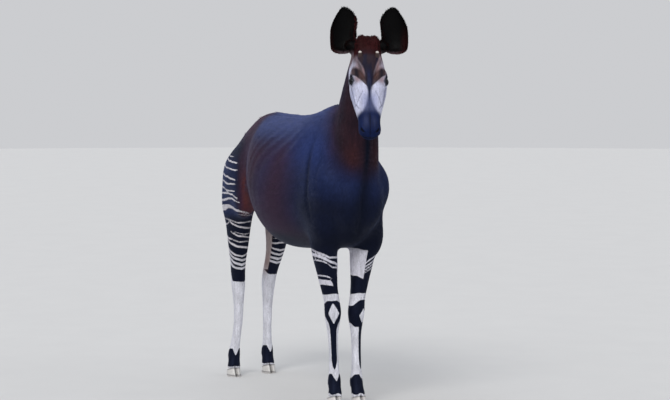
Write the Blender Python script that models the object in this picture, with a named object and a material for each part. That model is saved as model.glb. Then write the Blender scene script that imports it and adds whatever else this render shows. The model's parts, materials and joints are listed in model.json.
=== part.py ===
import math

import bmesh
import bpy
import numpy as np
from mathutils import Matrix, Vector

# ---------------------------------------------------------------------------
# Named sizes, in metres. The okapi faces -Y, its left side is +X, the ground
# is z = 0.  Distances along the body are first laid out from the line between
# the fore hooves (y = 0) and then moved by MIDDLE, so that the origin lies
# under the middle of the animal.
# ---------------------------------------------------------------------------
MIDDLE = Vector((0.0, -0.43004, 0.0))
FORE_LEFT = (0.0545, -0.025)  # the middle of each foot on the ground: x, y
FORE_RIGHT = (-0.0560, 0.025)
HIND_LEFT = (0.112, 1.200)
HIND_RIGHT = (-0.111, 1.160)
POLL = Vector((-0.017, -0.262, 1.792))  # top of the head, between the ears
HEAD_TURN = math.radians(21.0)  # the head looks this far to the animal's right
HEAD_DROP = math.radians(62.0)  # and its nose points this far below level
HEAD_ROLL = math.radians(-1.0)
EAR_LENGTH = 0.223
EYE_RADIUS = 0.0205
EYE_AT = (0.0725, 0.206, -0.028)  # in the head's own axes: side, along, out
OSSICONE_AT = (0.0385, 0.086, 0.007)


def smooth_table(table, t):
    """Values of a table of rows (t, a, b, ...) at t, on a curve through the rows."""
    rows = table
    n = len(rows)
    if t <= rows[0][0]:
        return list(rows[0][1:])
    if t >= rows[-1][0]:
        return list(rows[-1][1:])
    i = max(k for k in range(n - 1) if rows[k][0] <= t)
    p1, p2 = rows[i], rows[i + 1]
    p0 = rows[i - 1] if i > 0 else p1
    p3 = rows[i + 2] if i + 2 < n else p2
    span = p2[0] - p1[0]
    u = (t - p1[0]) / span
    out = []
    for k in range(1, len(p1)):
        m1 = (p2[k] - p0[k]) / (p2[0] - p0[0]) * span if p2[0] != p0[0] else 0.0
        m2 = (p3[k] - p1[k]) / (p3[0] - p1[0]) * span if p3[0] != p1[0] else 0.0
        out.append(
            (2 * u**3 - 3 * u**2 + 1) * p1[k]
            + (u**3 - 2 * u**2 + u) * m1
            + (3 * u**2 - 2 * u**3) * p2[k]
            + (u**3 - u**2) * m2
        )
    return out


def power(value, p):
    return math.copysign(abs(value) ** (2.0 / p), value)


def new_object(name, bm, smooth=True):
    bm.normal_update()
    bmesh.ops.recalc_face_normals(bm, faces=bm.faces)
    if bm.calc_volume(signed=True) < 0:
        bmesh.ops.reverse_faces(bm, faces=bm.faces)
    mesh = bpy.data.meshes.new(name)
    bm.to_mesh(mesh)
    bm.free()
    if smooth:
        mesh.shade_smooth()
    obj = bpy.data.objects.new(name, mesh)
    bpy.context.scene.collection.objects.link(obj)
    return obj


def skin_rings(bm, rings):
    """Closes a list of rings of points into one lofted body with domed ends."""
    loops = [[bm.verts.new(p) for p in ring] for ring in rings]
    for a, b in zip(loops, loops[1:]):
        for i in range(len(a)):
            j = (i + 1) % len(a)
            bm.faces.new((a[i], a[j], b[j], b[i]))
    for loop in (loops[0], loops[-1]):
        middle = bm.verts.new(sum((v.co for v in loop), Vector()) / len(loop))
        for i in range(len(loop)):
            bm.faces.new((loop[i], loop[(i + 1) % len(loop)], middle))


def oval(centre, side, out, half_side, half_out, half_in, p_out=2.0, p_in=2.0, n=28):
    """One ring: half_out deep on the out side, half_in on the other."""
    ring = []
    for i in range(n):
        a = 2 * math.pi * i / n
        c, s = math.cos(a), math.sin(a)
        p = p_out if s > 0 else p_in
        deep = half_out if s > 0 else half_in
        ring.append(centre + side * (half_side * power(c, p)) + out * (deep * power(s, p)))
    return ring


def limb(bm, stations, side=Vector((1, 0, 0)), steps=5, n=24, p_back=2.1):
    """A tube through stations (x, y, z, half side, half front, half back), its
    rings square to the line through them. Front is the -Y side."""
    rows = [(k,) + tuple(s) for k, s in enumerate(stations)]
    count = (len(stations) - 1) * steps
    centres, sizes = [], []
    for k in range(count + 1):
        x, y, z, a, f, b = smooth_table(rows, k / steps)
        centres.append(Vector((x, y, z)))
        sizes.append((a, f, b))
    rings = []
    for k, c in enumerate(centres):
        along = (centres[min(k + 1, count)] - centres[max(k - 1, 0)]).normalized()
        across = (side - along * side.dot(along)).normalized()
        front = along.cross(across).normalized()
        if front.y > 0:
            front = -front
        a, f, b = sizes[k]
        rings.append(oval(c, across, front, a, f, b, 2.1, p_back, n))
    skin_rings(bm, rings)


def ball(bm, centre, radii, turn=(0, 0, 0), frame=None, n=24):
    """An ellipsoid muscle or bulge, turned by degrees about X, Y and Z."""
    rot = Matrix.Identity(3)
    for axis, deg in zip("XYZ", turn):
        rot = Matrix.Rotation(math.radians(deg), 3, axis) @ rot
    made = bmesh.ops.create_uvsphere(bm, u_segments=n, v_segments=n // 2, radius=1.0)
    for v in made["verts"]:
        p = rot @ Vector((v.co.x * radii[0], v.co.y * radii[1], v.co.z * radii[2]))
        p = p + Vector(centre)
        v.co = frame @ p if frame is not None else p


# --- trunk -----------------------------------------------------------------
# y, top, bottom, half width, height of the widest line, top power, bottom power
TRUNK = (
    (-0.175, 1.160, 0.960, 0.075, 1.060, 2.0, 2.0),
    (-0.140, 1.260, 0.880, 0.120, 1.060, 2.0, 2.0),
    (-0.070, 1.370, 0.800, 0.158, 1.060, 1.9, 2.0),
    (0.020, 1.460, 0.776, 0.182, 1.060, 1.75, 2.0),
    (0.100, 1.494, 0.766, 0.200, 1.060, 1.65, 2.0),
    (0.200, 1.468, 0.765, 0.226, 1.060, 1.7, 2.1),
    (0.330, 1.438, 0.750, 0.254, 1.040, 1.85, 2.1),
    (0.480, 1.424, 0.742, 0.272, 1.055, 1.95, 2.1),
    (0.620, 1.422, 0.750, 0.262, 1.095, 2.0, 1.9),
    (0.740, 1.426, 0.785, 0.220, 1.120, 2.1, 1.9),
    (0.850, 1.434, 0.850, 0.172, 1.150, 1.7, 1.9),
    (0.960, 1.422, 0.920, 0.196, 1.150, 1.4, 2.0),
    (1.060, 1.390, 0.970, 0.178, 1.150, 1.2, 2.0),
    (1.150, 1.352, 1.000, 0.136, 1.140, 1.25, 2.0),
    (1.215, 1.302, 1.030, 0.096, 1.125, 1.5, 2.0),
    (1.258, 1.240, 1.060, 0.055, 1.120, 2.0, 2.0),
)

# --- neck: y, z of its widest line, half side, half front, half back ----------
NECK = (
    (0.020, 1.060, 0.140, 0.200, 0.160),
    (-0.040, 1.150, 0.128, 0.185, 0.190),
    (-0.088, 1.240, 0.112, 0.152, 0.215),
    (-0.120, 1.330, 0.098, 0.124, 0.215),
    (-0.140, 1.420, 0.087, 0.106, 0.200),
    (-0.156, 1.520, 0.072, 0.090, 0.165),
    (-0.176, 1.610, 0.065, 0.084, 0.122),
    (-0.204, 1.690, 0.060, 0.078, 0.088),
    (-0.232, 1.752, 0.056, 0.064, 0.060),
)

# --- the legs' centre lines: height, x, y -------------------------------------
FORE_RIGHT_LINE = (
    (0.040, -0.0520, 0.026),
    (0.060, -0.0500, 0.031),
    (0.088, -0.0455, 0.043),
    (0.122, -0.0415, 0.055),
    (0.160, -0.0430, 0.057),
    (0.230, -0.0455, 0.055),
    (0.360, -0.0530, 0.050),
    (0.455, -0.0550, 0.047),
    (0.520, -0.0620, 0.046),
    (0.590, -0.0760, 0.046),
    (0.680, -0.0880, 0.046),
    (0.770, -0.1020, 0.042),
    (0.850, -0.1100, 0.040),
    (0.950, -0.1170, 0.034),
    (1.040, -0.1220, 0.024),
)
FORE_LEFT_LINE = (
    (0.040, 0.0530, -0.022),
    (0.060, 0.0530, -0.016),
    (0.088, 0.0540, -0.004),
    (0.122, 0.0560, 0.007),
    (0.160, 0.0570, 0.009),
    (0.230, 0.0570, 0.010),
    (0.360, 0.0560, 0.012),
    (0.455, 0.0560, 0.012),
    (0.520, 0.0640, 0.016),
    (0.590, 0.0780, 0.022),
    (0.680, 0.0930, 0.030),
    (0.770, 0.1060, 0.036),
    (0.850, 0.1120, 0.038),
    (0.950, 0.1180, 0.034),
    (1.040, 0.1220, 0.024),
)
HIND_RIGHT_LINE = (
    (0.040, -0.1080, 1.166),
    (0.060, -0.1060, 1.170),
    (0.088, -0.1010, 1.178),
    (0.122, -0.0970, 1.186),
    (0.160, -0.0930, 1.184),
    (0.230, -0.0860, 1.176),
    (0.300, -0.0810, 1.168),
    (0.400, -0.0790, 1.166),
    (0.500, -0.0800, 1.168),
    (0.560, -0.0850, 1.160),
    (0.630, -0.0930, 1.142),
    (0.710, -0.1000, 1.122),
    (0.790, -0.1060, 1.108),
    (0.880, -0.1100, 1.094),
    (1.000, -0.1120, 1.075),
    (1.120, -0.1060, 1.060),
    (1.220, -0.0980, 1.050),
)
HIND_LEFT_LINE = (
    (0.040, 0.1120, 1.206),
    (0.060, 0.1130, 1.211),
    (0.088, 0.1150, 1.220),
    (0.122, 0.1170, 1.228),
    (0.160, 0.1160, 1.226),
    (0.230, 0.1100, 1.214),
    (0.300, 0.1070, 1.206),
    (0.400, 0.1080, 1.202),
    (0.500, 0.1120, 1.200),
    (0.560, 0.1160, 1.186),
    (0.630, 0.1190, 1.152),
    (0.710, 0.1200, 1.120),
    (0.790, 0.1180, 1.104),
    (0.880, 0.1160, 1.090),
    (1.000, 0.1120, 1.075),
    (1.120, 0.1060, 1.060),
    (1.220, 0.0980, 1.050),
)

# --- the legs' girth: height, half side, half front, half back ------------------
FORE_GIRTH = (
    (0.040, 0.0380, 0.0360, 0.0350),
    (0.060, 0.0350, 0.0330, 0.0340),
    (0.088, 0.0310, 0.0310, 0.0340),
    (0.122, 0.0330, 0.0330, 0.0390),
    (0.160, 0.0262, 0.0290, 0.0325),
    (0.230, 0.0238, 0.0270, 0.0300),
    (0.300, 0.0242, 0.0275, 0.0305),
    (0.360, 0.0272, 0.0300, 0.0330),
    (0.410, 0.0355, 0.0370, 0.0420),
    (0.455, 0.0425, 0.0440, 0.0420),
    (0.515, 0.0390, 0.0415, 0.0410),
    (0.570, 0.0410, 0.0430, 0.0460),
    (0.627, 0.0465, 0.0500, 0.0560),
    (0.700, 0.0560, 0.0620, 0.0720),
    (0.770, 0.0615, 0.0760, 0.0900),
    (0.850, 0.0660, 0.0900, 0.1080),
    (0.950, 0.0720, 0.1080, 0.1240),
    (1.040, 0.0680, 0.1180, 0.1200),
)
HIND_GIRTH = (
    (0.040, 0.0385, 0.0360, 0.0350),
    (0.060, 0.0355, 0.0330, 0.0340),
    (0.088, 0.0310, 0.0310, 0.0340),
    (0.122, 0.0330, 0.0330, 0.0390),
    (0.160, 0.0262, 0.0290, 0.0325),
    (0.230, 0.0238, 0.0270, 0.0300),
    (0.300, 0.0245, 0.0285, 0.0310),
    (0.400, 0.0275, 0.0330, 0.0370),
    (0.480, 0.0350, 0.0430, 0.0450),
    (0.540, 0.0370, 0.0480, 0.0480),
    (0.600, 0.0390, 0.0510, 0.0500),
    (0.660, 0.0450, 0.0600, 0.0580),
    (0.720, 0.0520, 0.0740, 0.0720),
    (0.790, 0.0590, 0.0960, 0.0940),
    (0.870, 0.0660, 0.1250, 0.1160),
    (0.960, 0.0760, 0.1480, 0.1340),
    (1.060, 0.0820, 0.1560, 0.1360),
    (1.150, 0.0780, 0.1420, 0.1160),
    (1.220, 0.0600, 0.1050, 0.0850),
)

# --- head, in its own axes: along t from the poll, out from the forehead ------
# t, top, bottom, half width, widest line, top power, bottom power
HEAD = (
    (-0.045, -0.040, -0.105, 0.034, -0.070, 2.0, 2.0),
    (-0.022, -0.012, -0.135, 0.050, -0.066, 2.1, 2.0),
    (0.010, 0.002, -0.158, 0.060, -0.064, 2.3, 2.0),
    (0.050, 0.010, -0.182, 0.067, -0.060, 2.5, 1.9),
    (0.100, 0.013, -0.196, 0.076, -0.052, 2.6, 1.8),
    (0.150, 0.009, -0.190, 0.084, -0.045, 2.6, 1.8),
    (0.195, 0.002, -0.174, 0.087, -0.048, 2.5, 1.8),
    (0.245, -0.005, -0.156, 0.085, -0.060, 2.2, 1.8),
    (0.300, -0.010, -0.137, 0.076, -0.066, 2.0, 1.9),
    (0.350, -0.012, -0.120, 0.063, -0.062, 1.9, 2.0),
    (0.395, -0.011, -0.108, 0.054, -0.056, 2.0, 2.1),
    (0.430, -0.012, -0.101, 0.054, -0.054, 2.2, 2.2),
    (0.460, -0.018, -0.095, 0.053, -0.055, 2.3, 2.3),
    (0.483, -0.030, -0.085, 0.044, -0.056, 2.2, 2.2),
    (0.497, -0.045, -0.070, 0.024, -0.057, 2.0, 2.0),
)


def head_axes():
    """The head's own axes (side to its left, along to its nose, out of its forehead) at the poll."""
    looks = Vector((-math.sin(HEAD_TURN), -math.cos(HEAD_TURN), 0.0))
    up = Vector((0, 0, 1))
    along = looks * math.cos(HEAD_DROP) - up * math.sin(HEAD_DROP)
    out = looks * math.sin(HEAD_DROP) + up * math.cos(HEAD_DROP)
    side = out.cross(along).normalized()
    if side.x < 0:
        side = -side
    roll = Matrix.Rotation(HEAD_ROLL, 3, looks)
    side, along, out = roll @ side, roll @ along, roll @ out
    m = Matrix.Identity(4)
    for col, axis in enumerate((side, along, out)):
        for row in range(3):
            m[row][col] = axis[row]
    for row in range(3):
        m[row][3] = POLL[row]
    return m


def add_trunk(bm):
    ys = np.linspace(TRUNK[0][0], TRUNK[-1][0], 46)
    rings = []
    for y in ys:
        top, bottom, half, wide, p_top, p_low = smooth_table(TRUNK, float(y))
        rings.append(
            oval(
                Vector((0, y, wide)),
                Vector((1, 0, 0)),
                Vector((0, 0, 1)),
                half,
                top - wide,
                wide - bottom,
                p_top,
                p_low,
                48,
            )
        )
    skin_rings(bm, rings)


def add_neck(bm):
    stations = []
    for k, (y, z, a, f, b) in enumerate(NECK):
        bend = (k / (len(NECK) - 1)) ** 2
        stations.append((POLL.x * bend, y, z, a, f, b))
    limb(bm, stations, n=32, p_back=1.7)


def leg_stations(line, girth, step=0.02):
    """Joins a leg's centre line and its girth at even heights, from the top down."""
    rows = []
    top = min(line[-1][0], girth[-1][0])
    count = int(round((top - line[0][0]) / step))
    for k in range(count, -1, -1):
        z = line[0][0] + (top - line[0][0]) * k / count
        x, y = smooth_table(line, z)
        a, f, b = smooth_table(girth, z)
        rows.append((x, y, z, a, f, b))
    return rows


def add_head(bm):
    m = head_axes()
    ts = np.linspace(HEAD[0][0], HEAD[-1][0], 56)
    rings = []
    for t in ts:
        top, bottom, half, wide, p_top, p_low = smooth_table(HEAD, float(t))
        ring = oval(
            Vector((0, t, wide)),
            Vector((1, 0, 0)),
            Vector((0, 0, 1)),
            half,
            top - wide,
            wide - bottom,
            p_top,
            p_low,
            40,
        )
        rings.append([m @ p for p in ring])
    skin_rings(bm, rings)
    for s in (-1, 1):
        # brow, cheek muscle, cheekbone, upper lip, nostril wing
        ball(bm, (s * 0.067, 0.176, -0.017), (0.028, 0.040, 0.022), (0, s * 28, s * -8), m)
        ball(bm, (s * 0.052, 0.135, -0.112), (0.034, 0.072, 0.060), (0, 0, s * 4), m)
        ball(bm, (s * 0.060, 0.245, -0.072), (0.028, 0.085, 0.036), (0, 0, s * 8), m)
        ball(bm, (s * 0.030, 0.452, -0.052), (0.028, 0.036, 0.032), (0, 0, s * 6), m)
    ball(bm, (0, 0.452, -0.092), (0.033, 0.038, 0.018), (0, 0, 0), m)
    # the woolly crest between the ears, in two lobes, and the base of each ear
    for s in (-1, 1):
        ball(bm, (s * 0.031, 0.008, -0.008), (0.027, 0.040, 0.020), (-14, 0, 0), m)
        ball(bm, (s * 0.076, -0.002, -0.062), (0.034, 0.032, 0.036), (0, 0, 0), m)


def add_fore_leg(bm, s):
    line = FORE_RIGHT_LINE if s < 0 else FORE_LEFT_LINE
    limb(bm, leg_stations(line, FORE_GIRTH), steps=1)
    x, y = smooth_table(line, 0.44)
    # the little bone behind the knee joint, and the joint's broad front
    ball(bm, (x + s * 0.006, y + 0.036, 0.432), (0.016, 0.017, 0.030))
    ball(bm, (x, y - 0.014, 0.452), (0.037, 0.033, 0.040))
    # pads behind the fetlock
    x, y = smooth_table(line, 0.116)
    ball(bm, (x, y + 0.028, 0.112), (0.024, 0.018, 0.026), (-20, 0, 0))
    # shoulder blade, upper arm and the muscle behind it, elbow, fore arm
    ball(bm, (s * 0.132, 0.085, 1.220), (0.050, 0.085, 0.175), (-24, -s * 16, 0))
    ball(bm, (s * 0.146, -0.035, 1.075), (0.062, 0.098, 0.130), (14, -s * 4, 0))
    ball(bm, (s * 0.148, 0.085, 1.020), (0.066, 0.110, 0.140), (30, -s * 2, 0))
    ball(bm, (s * 0.130, 0.105, 0.885), (0.044, 0.048, 0.065), (10, 0, 0))
    ball(bm, (s * 0.130, 0.000, 0.900), (0.064, 0.080, 0.110), (-4, s * 4, 0))
    if s > 0:  # the left elbow stands out further
        ball(bm, (0.138, 0.010, 0.830), (0.066, 0.070, 0.110), (-4, 10, 0))
    # breast muscle in front of the shoulder
    ball(bm, (s * 0.064, -0.125, 1.000), (0.070, 0.080, 0.130), (12, 0, 0))


def add_hind_leg(bm, s):
    line = HIND_RIGHT_LINE if s < 0 else HIND_LEFT_LINE
    limb(bm, leg_stations(line, HIND_GIRTH), steps=1)
    # point of the hock and its cord, going up into the calf
    x, y = smooth_table(line, 0.55)
    ball(bm, (x, y + 0.048, 0.560), (0.0175, 0.022, 0.045), (4, 0, 0))
    x, y = smooth_table(line, 0.64)
    ball(bm, (x, y + 0.052, 0.655), (0.0150, 0.020, 0.085), (14, 0, 0))
    x, y = smooth_table(line, 0.116)
    ball(bm, (x, y + 0.028, 0.112), (0.024, 0.018, 0.026), (-20, 0, 0))
    # haunch: thigh, buttock, stifle, calf
    ball(bm, (s * 0.124, 1.010, 1.080), (0.084, 0.165, 0.180), (14, -s * 4, 0))
    ball(bm, (s * 0.096, 1.150, 1.060), (0.078, 0.104, 0.165), (-8, -s * 3, 0))
    ball(bm, (s * 0.146, 0.935, 0.970), (0.060, 0.095, 0.120), (24, 0, 0))
    ball(bm, (s * 0.108, 1.150, 0.945), (0.074, 0.094, 0.155), (-6, 0, 0))


TAIL = (
    (0.0, 1.190, 1.298, 0.024, 0.024, 0.024),
    (0.0, 1.240, 1.266, 0.022, 0.022, 0.022),
    (0.0, 1.278, 1.210, 0.018, 0.018, 0.018),
    (0.002, 1.294, 1.140, 0.015, 0.014, 0.014),
    (0.004, 1.297, 1.050, 0.012, 0.012, 0.012),
    (0.006, 1.295, 0.985, 0.013, 0.013, 0.013),
    (0.008, 1.291, 0.930, 0.020, 0.019, 0.019),
    (0.010, 1.287, 0.870, 0.021, 0.020, 0.020),
    (0.012, 1.284, 0.815, 0.014, 0.013, 0.013),
    (0.013, 1.282, 0.780, 0.005, 0.005, 0.005),
)


def add_tail(bm, grow=0.0):
    stations = [(x, y, z, a + grow, f + grow, b + grow) for x, y, z, a, f, b in TAIL]
    if grow:
        x, y, z, a, f, b = stations[0]
        stations[0] = (x, y - grow, z + grow, a, f, b)
    limb(bm, stations, n=8, steps=2)


# The ear, seen from in front: share of its length from the bottom of the cup,
# middle of the blade outwards from its root, half width, depth of the cup
EAR = (
    (0.000, 0.066, 0.020, 0.006),
    (0.030, 0.066, 0.043, 0.021),
    (0.085, 0.065, 0.056, 0.035),
    (0.200, 0.063, 0.062, 0.046),
    (0.387, 0.062, 0.0635, 0.046),
    (0.516, 0.060, 0.0635, 0.041),
    (0.645, 0.054, 0.061, 0.034),
    (0.774, 0.050, 0.051, 0.026),
    (0.880, 0.050, 0.037, 0.017),
    (0.955, 0.053, 0.021, 0.009),
    (1.000, 0.056, 0.005, 0.003),
)
EAR_CURL = 1.38  # how far round the cup's section bends, either way
EAR_ROOT = (0.0620, 0.0365, -0.0420)  # in the head's axes
EAR_OPEN = -12.0  # degrees that the cup's mouth turns towards the midline
EAR_WALL = 0.0080


def ear_point(side, u, v, lift):
    """A point of the ear's sheet: u from the bottom of its cup to its tip, v from
    its inner (-1) to its outer (+1) edge, lift towards the back of the ear."""
    middle, half, deep = smooth_table(EAR, u)
    a = EAR_CURL * v
    x = middle + half * math.sin(a) / math.sin(EAR_CURL)
    back = deep * (math.cos(a) - math.cos(EAR_CURL)) / (1 - math.cos(EAR_CURL))
    # lift along the normal of the section and of the profile
    nx, nb = math.sin(a) * deep, math.cos(a) * half
    size = math.hypot(nx, nb) or 1.0
    du = smooth_table(EAR, min(u + 0.03, 1.0))[2] - smooth_table(EAR, max(u - 0.03, 0.0))[2]
    slope = du / (0.06 * EAR_LENGTH)
    tip = 1.0 / math.sqrt(1 + slope * slope)
    x += lift * nx / size * tip
    back += lift * nb / size * tip
    up = u * EAR_LENGTH - lift * slope * tip * abs(nb) / size
    return Vector((side * x + 0.008, back, up - 0.008))


def ear_axes(side):
    """The ear's own axes: across (outwards), back of the cup, along to the tip."""
    m = head_axes()
    root = m @ Vector((side * EAR_ROOT[0], EAR_ROOT[1], EAR_ROOT[2]))
    looks = -(m.to_3x3() @ Vector((0, 0, 1)))  # away from where the forehead faces
    looks.z = 0
    back = looks.normalized()
    up = Vector((0, 0, 1))
    out = (m.to_3x3() @ Vector((1, 0, 0))).normalized() * 1.0
    along = (up + back * 0.10).normalized()
    back = (back - along * back.dot(along)).normalized()
    # the cup opens a little outwards
    back = Matrix.Rotation(math.radians(side * EAR_OPEN), 3, along) @ back
    across = along.cross(back).normalized()
    if across.dot(out) < 0:
        across = -across
    r = Matrix.Identity(4)
    for col, axis in enumerate((across, back, along)):
        for row in range(3):
            r[row][col] = axis[row]
    for row in range(3):
        r[row][3] = root[row]
    return r


def add_ear(bm, side, rows=16, cols=12, wall=None):
    """A cupped ear of even wall, as a closed shell."""
    wall = EAR_WALL if wall is None else wall
    m = ear_axes(side)
    grid = {}
    for layer, lift in ((0, 0.0), (1, wall)):
        for i in range(rows + 1):
            u = i / rows
            u = 1 - (1 - u) ** 1.25
            for j in range(cols + 1):
                v = -1 + 2 * j / cols
                thin = 1.0 if layer == 0 else 0.35 + 0.65 * (1 - abs(v) ** 3) * (1 - u**4)
                grid[layer, i, j] = bm.verts.new(m @ ear_point(side, u, v, lift * thin))
    for i in range(rows):
        for j in range(cols):
            for layer in (0, 1):
                bm.faces.new(
                    [
                        grid[layer, i, j],
                        grid[layer, i + 1, j],
                        grid[layer, i + 1, j + 1],
                        grid[layer, i, j + 1],
                    ]
                )
    for i in range(rows):
        for j in (0, cols):
            bm.faces.new([grid[0, i, j], grid[0, i + 1, j], grid[1, i + 1, j], grid[1, i, j]])
    for j in range(cols):
        for i in (0, rows):
            bm.faces.new([grid[0, i, j], grid[0, i, j + 1], grid[1, i, j + 1], grid[1, i, j]])


# --- hooves ------------------------------------------------------------------
# height, half width, front, back (from the toe's own line), all from the sole up
HOOF = (
    (0.000, 0.0165, 0.0470, 0.0340),
    (0.004, 0.0172, 0.0480, 0.0350),
    (0.018, 0.0168, 0.0430, 0.0350),
    (0.034, 0.0158, 0.0350, 0.0330),
    (0.052, 0.0145, 0.0260, 0.0300),
)
HOOF_X = 0.0178  # each toe's line, either side of the foot's
CORONET = 0.0400  # height of the horn's upper edge under the foot's middle
CORONET_RISE = 0.30  # it climbs this much towards the toe

def hoof_middle(leg):
    """Where each foot's hooves stand: x, y."""
    feet = {
        "foreleg_L": FORE_LEFT,
        "foreleg_R": FORE_RIGHT,
        "hindleg_L": HIND_LEFT,
        "hindleg_R": HIND_RIGHT,
    }
    return feet[leg]


def coronet_height(y_from_middle):
    return CORONET - CORONET_RISE * y_from_middle


def add_hoof(bm, x, y, toe):
    """One toe's horn: flat sole at z = 0, pointed in front, its top cut along the coronet."""
    rings = []
    n = 14
    for z, half, front, back in HOOF:
        ring = []
        for i in range(n):
            a = 2 * math.pi * i / n
            c, s = math.cos(a), math.sin(a)
            deep = front if s > 0 else back
            narrow = 1 - 0.42 * max(s, 0.0) ** 2
            side = half * power(c, 2.4) * narrow
            if side * toe < 0:
                side *= 0.86  # flatter towards the cleft
            px = x + toe * HOOF_X + side - toe * 0.006 * max(s, 0.0) ** 2
            py = y - deep * power(s, 2.2)
            top = coronet_height(py - y) - GAP
            ring.append(Vector((px, py, min(z, top) if z < HOOF[-1][0] else top)))
        rings.append(ring)
    loops = [[bm.verts.new(p) for p in ring] for ring in rings]
    for a, b in zip(loops, loops[1:]):
        for i in range(n):
            j = (i + 1) % n
            bm.faces.new((a[i], a[j], b[j], b[i]))
    bm.faces.new(list(reversed(loops[0])))
    bm.faces.new(loops[-1])


# ---------------------------------------------------------------------------
# The whole body, then its named parts
# ---------------------------------------------------------------------------
GAP = 0.0003
THROAT = Vector((-0.010, -0.246, 1.480))
VOXEL = 0.0075
SMOOTHING = 90  # passes over the trunk
BODY_TRIANGLES = 5200


def smooth_body(obj):
    """Evens out the body: strongly on the trunk and neck, lightly on head and legs."""
    mesh = obj.data
    n = len(mesh.vertices)
    co = np.empty(n * 3)
    mesh.vertices.foreach_get("co", co)
    co = co.reshape(-1, 3)
    ed = np.empty(len(mesh.edges) * 2, dtype=np.int64)
    mesh.edges.foreach_get("vertices", ed)
    ed = ed.reshape(-1, 2)
    ends = np.concatenate((ed[:, 0], ed[:, 1]))
    others = np.concatenate((ed[:, 1], ed[:, 0]))
    count = np.bincount(ends, minlength=n).astype(float)
    weight = softness(co)
    for k in range(SMOOTHING):
        amount = 0.6 * np.clip(weight * SMOOTHING - k, 0.0, 1.0)
        mean = np.stack(
            [np.bincount(ends, weights=co[others, axis], minlength=n) for axis in range(3)], 1
        )
        co = co + (mean / count[:, None] - co) * amount[:, None]
    mesh.vertices.foreach_set("co", co.ravel())
    mesh.update()


def softness(co):
    """1 on the trunk and the lower neck, small on the legs and the head."""
    z = co[:, 2]
    w = np.clip((z - 0.70) / 0.22, 0.05, 1.0)
    head = np.linalg.norm((co - np.array(head_middle())) / np.array((0.20, 0.26, 0.30)), axis=1)
    return np.minimum(w, np.clip((head - 0.80) * 1.2, 0.06, 1.0))


def head_side():
    """Square to the cut between neck and head, towards the head."""
    looks = Vector((-math.sin(HEAD_TURN * 0.7), -math.cos(HEAD_TURN * 0.7), 0.0))
    return (looks * 0.93 + Vector((0, 0, 0.36))).normalized()


def head_middle():
    m = head_axes()
    return tuple(m @ Vector((0, 0.20, -0.08)))


def make_body():
    bm = bmesh.new()
    add_trunk(bm)
    add_neck(bm)
    add_head(bm)
    for s in (-1, 1):
        add_fore_leg(bm, s)
        add_hind_leg(bm, s)
    body = new_object("body", bm)
    remesh = body.modifiers.new("union", "REMESH")
    remesh.mode = "VOXEL"
    remesh.voxel_size = VOXEL
    settle(body)
    smooth_body(body)
    keep = body.vertex_groups.new(name="coarse")
    co = np.empty(len(body.data.vertices) * 3)
    body.data.vertices.foreach_get("co", co)
    co = co.reshape(-1, 3)
    w = np.clip((co[:, 2] - 0.80) * 4.0, 0.0, 1.0) * 0.35 + 0.60
    face = (co - np.array(THROAT)) @ np.array(head_side())
    w = np.where(face > 0.0, 0.52, w)
    for i, value in enumerate(w):
        keep.add([i], float(value), "REPLACE")
    tri = body.modifiers.new("triangles", "TRIANGULATE")
    cut = body.modifiers.new("fewer", "DECIMATE")
    cut.ratio = BODY_TRIANGLES / (2.0 * len(body.data.polygons))
    cut.vertex_group = "coarse"
    cut.use_collapse_triangulate = True
    settle(body)
    return body


def settle(obj):
    """Replaces the object's mesh by what its modifiers make of it."""
    graph = bpy.context.evaluated_depsgraph_get()
    mesh = bpy.data.meshes.new_from_object(obj.evaluated_get(graph))
    obj.modifiers.clear()
    old = obj.data
    obj.data = mesh
    bpy.data.meshes.remove(old)


def box_on(name, frame, size):
    """A cutter: a box in its own axes, from (x0, x1), (y0, y1), (z0, z1)."""
    bm = bmesh.new()
    (x0, x1), (y0, y1), (z0, z1) = size
    made = bmesh.ops.create_cube(bm, size=1.0)
    for v in made["verts"]:
        p = Vector(
            (
                x0 + (v.co.x + 0.5) * (x1 - x0),
                y0 + (v.co.y + 0.5) * (y1 - y0),
                z0 + (v.co.z + 0.5) * (z1 - z0),
            )
        )
        v.co = frame @ p
    return as_cutter(new_object(name, bm, smooth=False))


def as_cutter(obj):
    obj.hide_render = True
    obj.display_type = "WIRE"
    return obj


def boolean(obj, other, operation):
    mod = obj.modifiers.new(operation.lower(), "BOOLEAN")
    mod.operation = operation
    mod.solver = "EXACT"
    mod.object = other


def axes_at(point, x, y, z):
    m = Matrix.Identity(4)
    for col, axis in enumerate((x, y, z)):
        for row in range(3):
            m[row][col] = axis[row]
    for row in range(3):
        m[row][3] = point[row]
    return m


HIDE = (0.020, 0.012, 0.014)
MATERIALS = {
    "hide": (HIDE, 0.55),
    "neck_hide": ((0.045, 0.020, 0.018), 0.6),
    "pale_hair": ((0.42, 0.36, 0.34), 0.7),
    "leg_hide": ((0.30, 0.27, 0.25), 0.65),
    "ear_hide": ((0.05, 0.025, 0.022), 0.6),
    "horn": ((0.16, 0.13, 0.10), 0.4),
    "eye": ((0.012, 0.007, 0.005), 0.08),
    "bare_horn": ((0.55, 0.48, 0.40), 0.45),
}


def material(name):
    if name in bpy.data.materials:
        return bpy.data.materials[name]
    mat = bpy.data.materials.new(name)
    mat.use_nodes = True
    colour, rough = MATERIALS[name]
    shader = mat.node_tree.nodes["Principled BSDF"]
    shader.inputs["Base Color"].default_value = (*colour, 1.0)
    shader.inputs["Roughness"].default_value = rough
    shader.inputs["Metallic"].default_value = 0.0
    return mat


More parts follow.
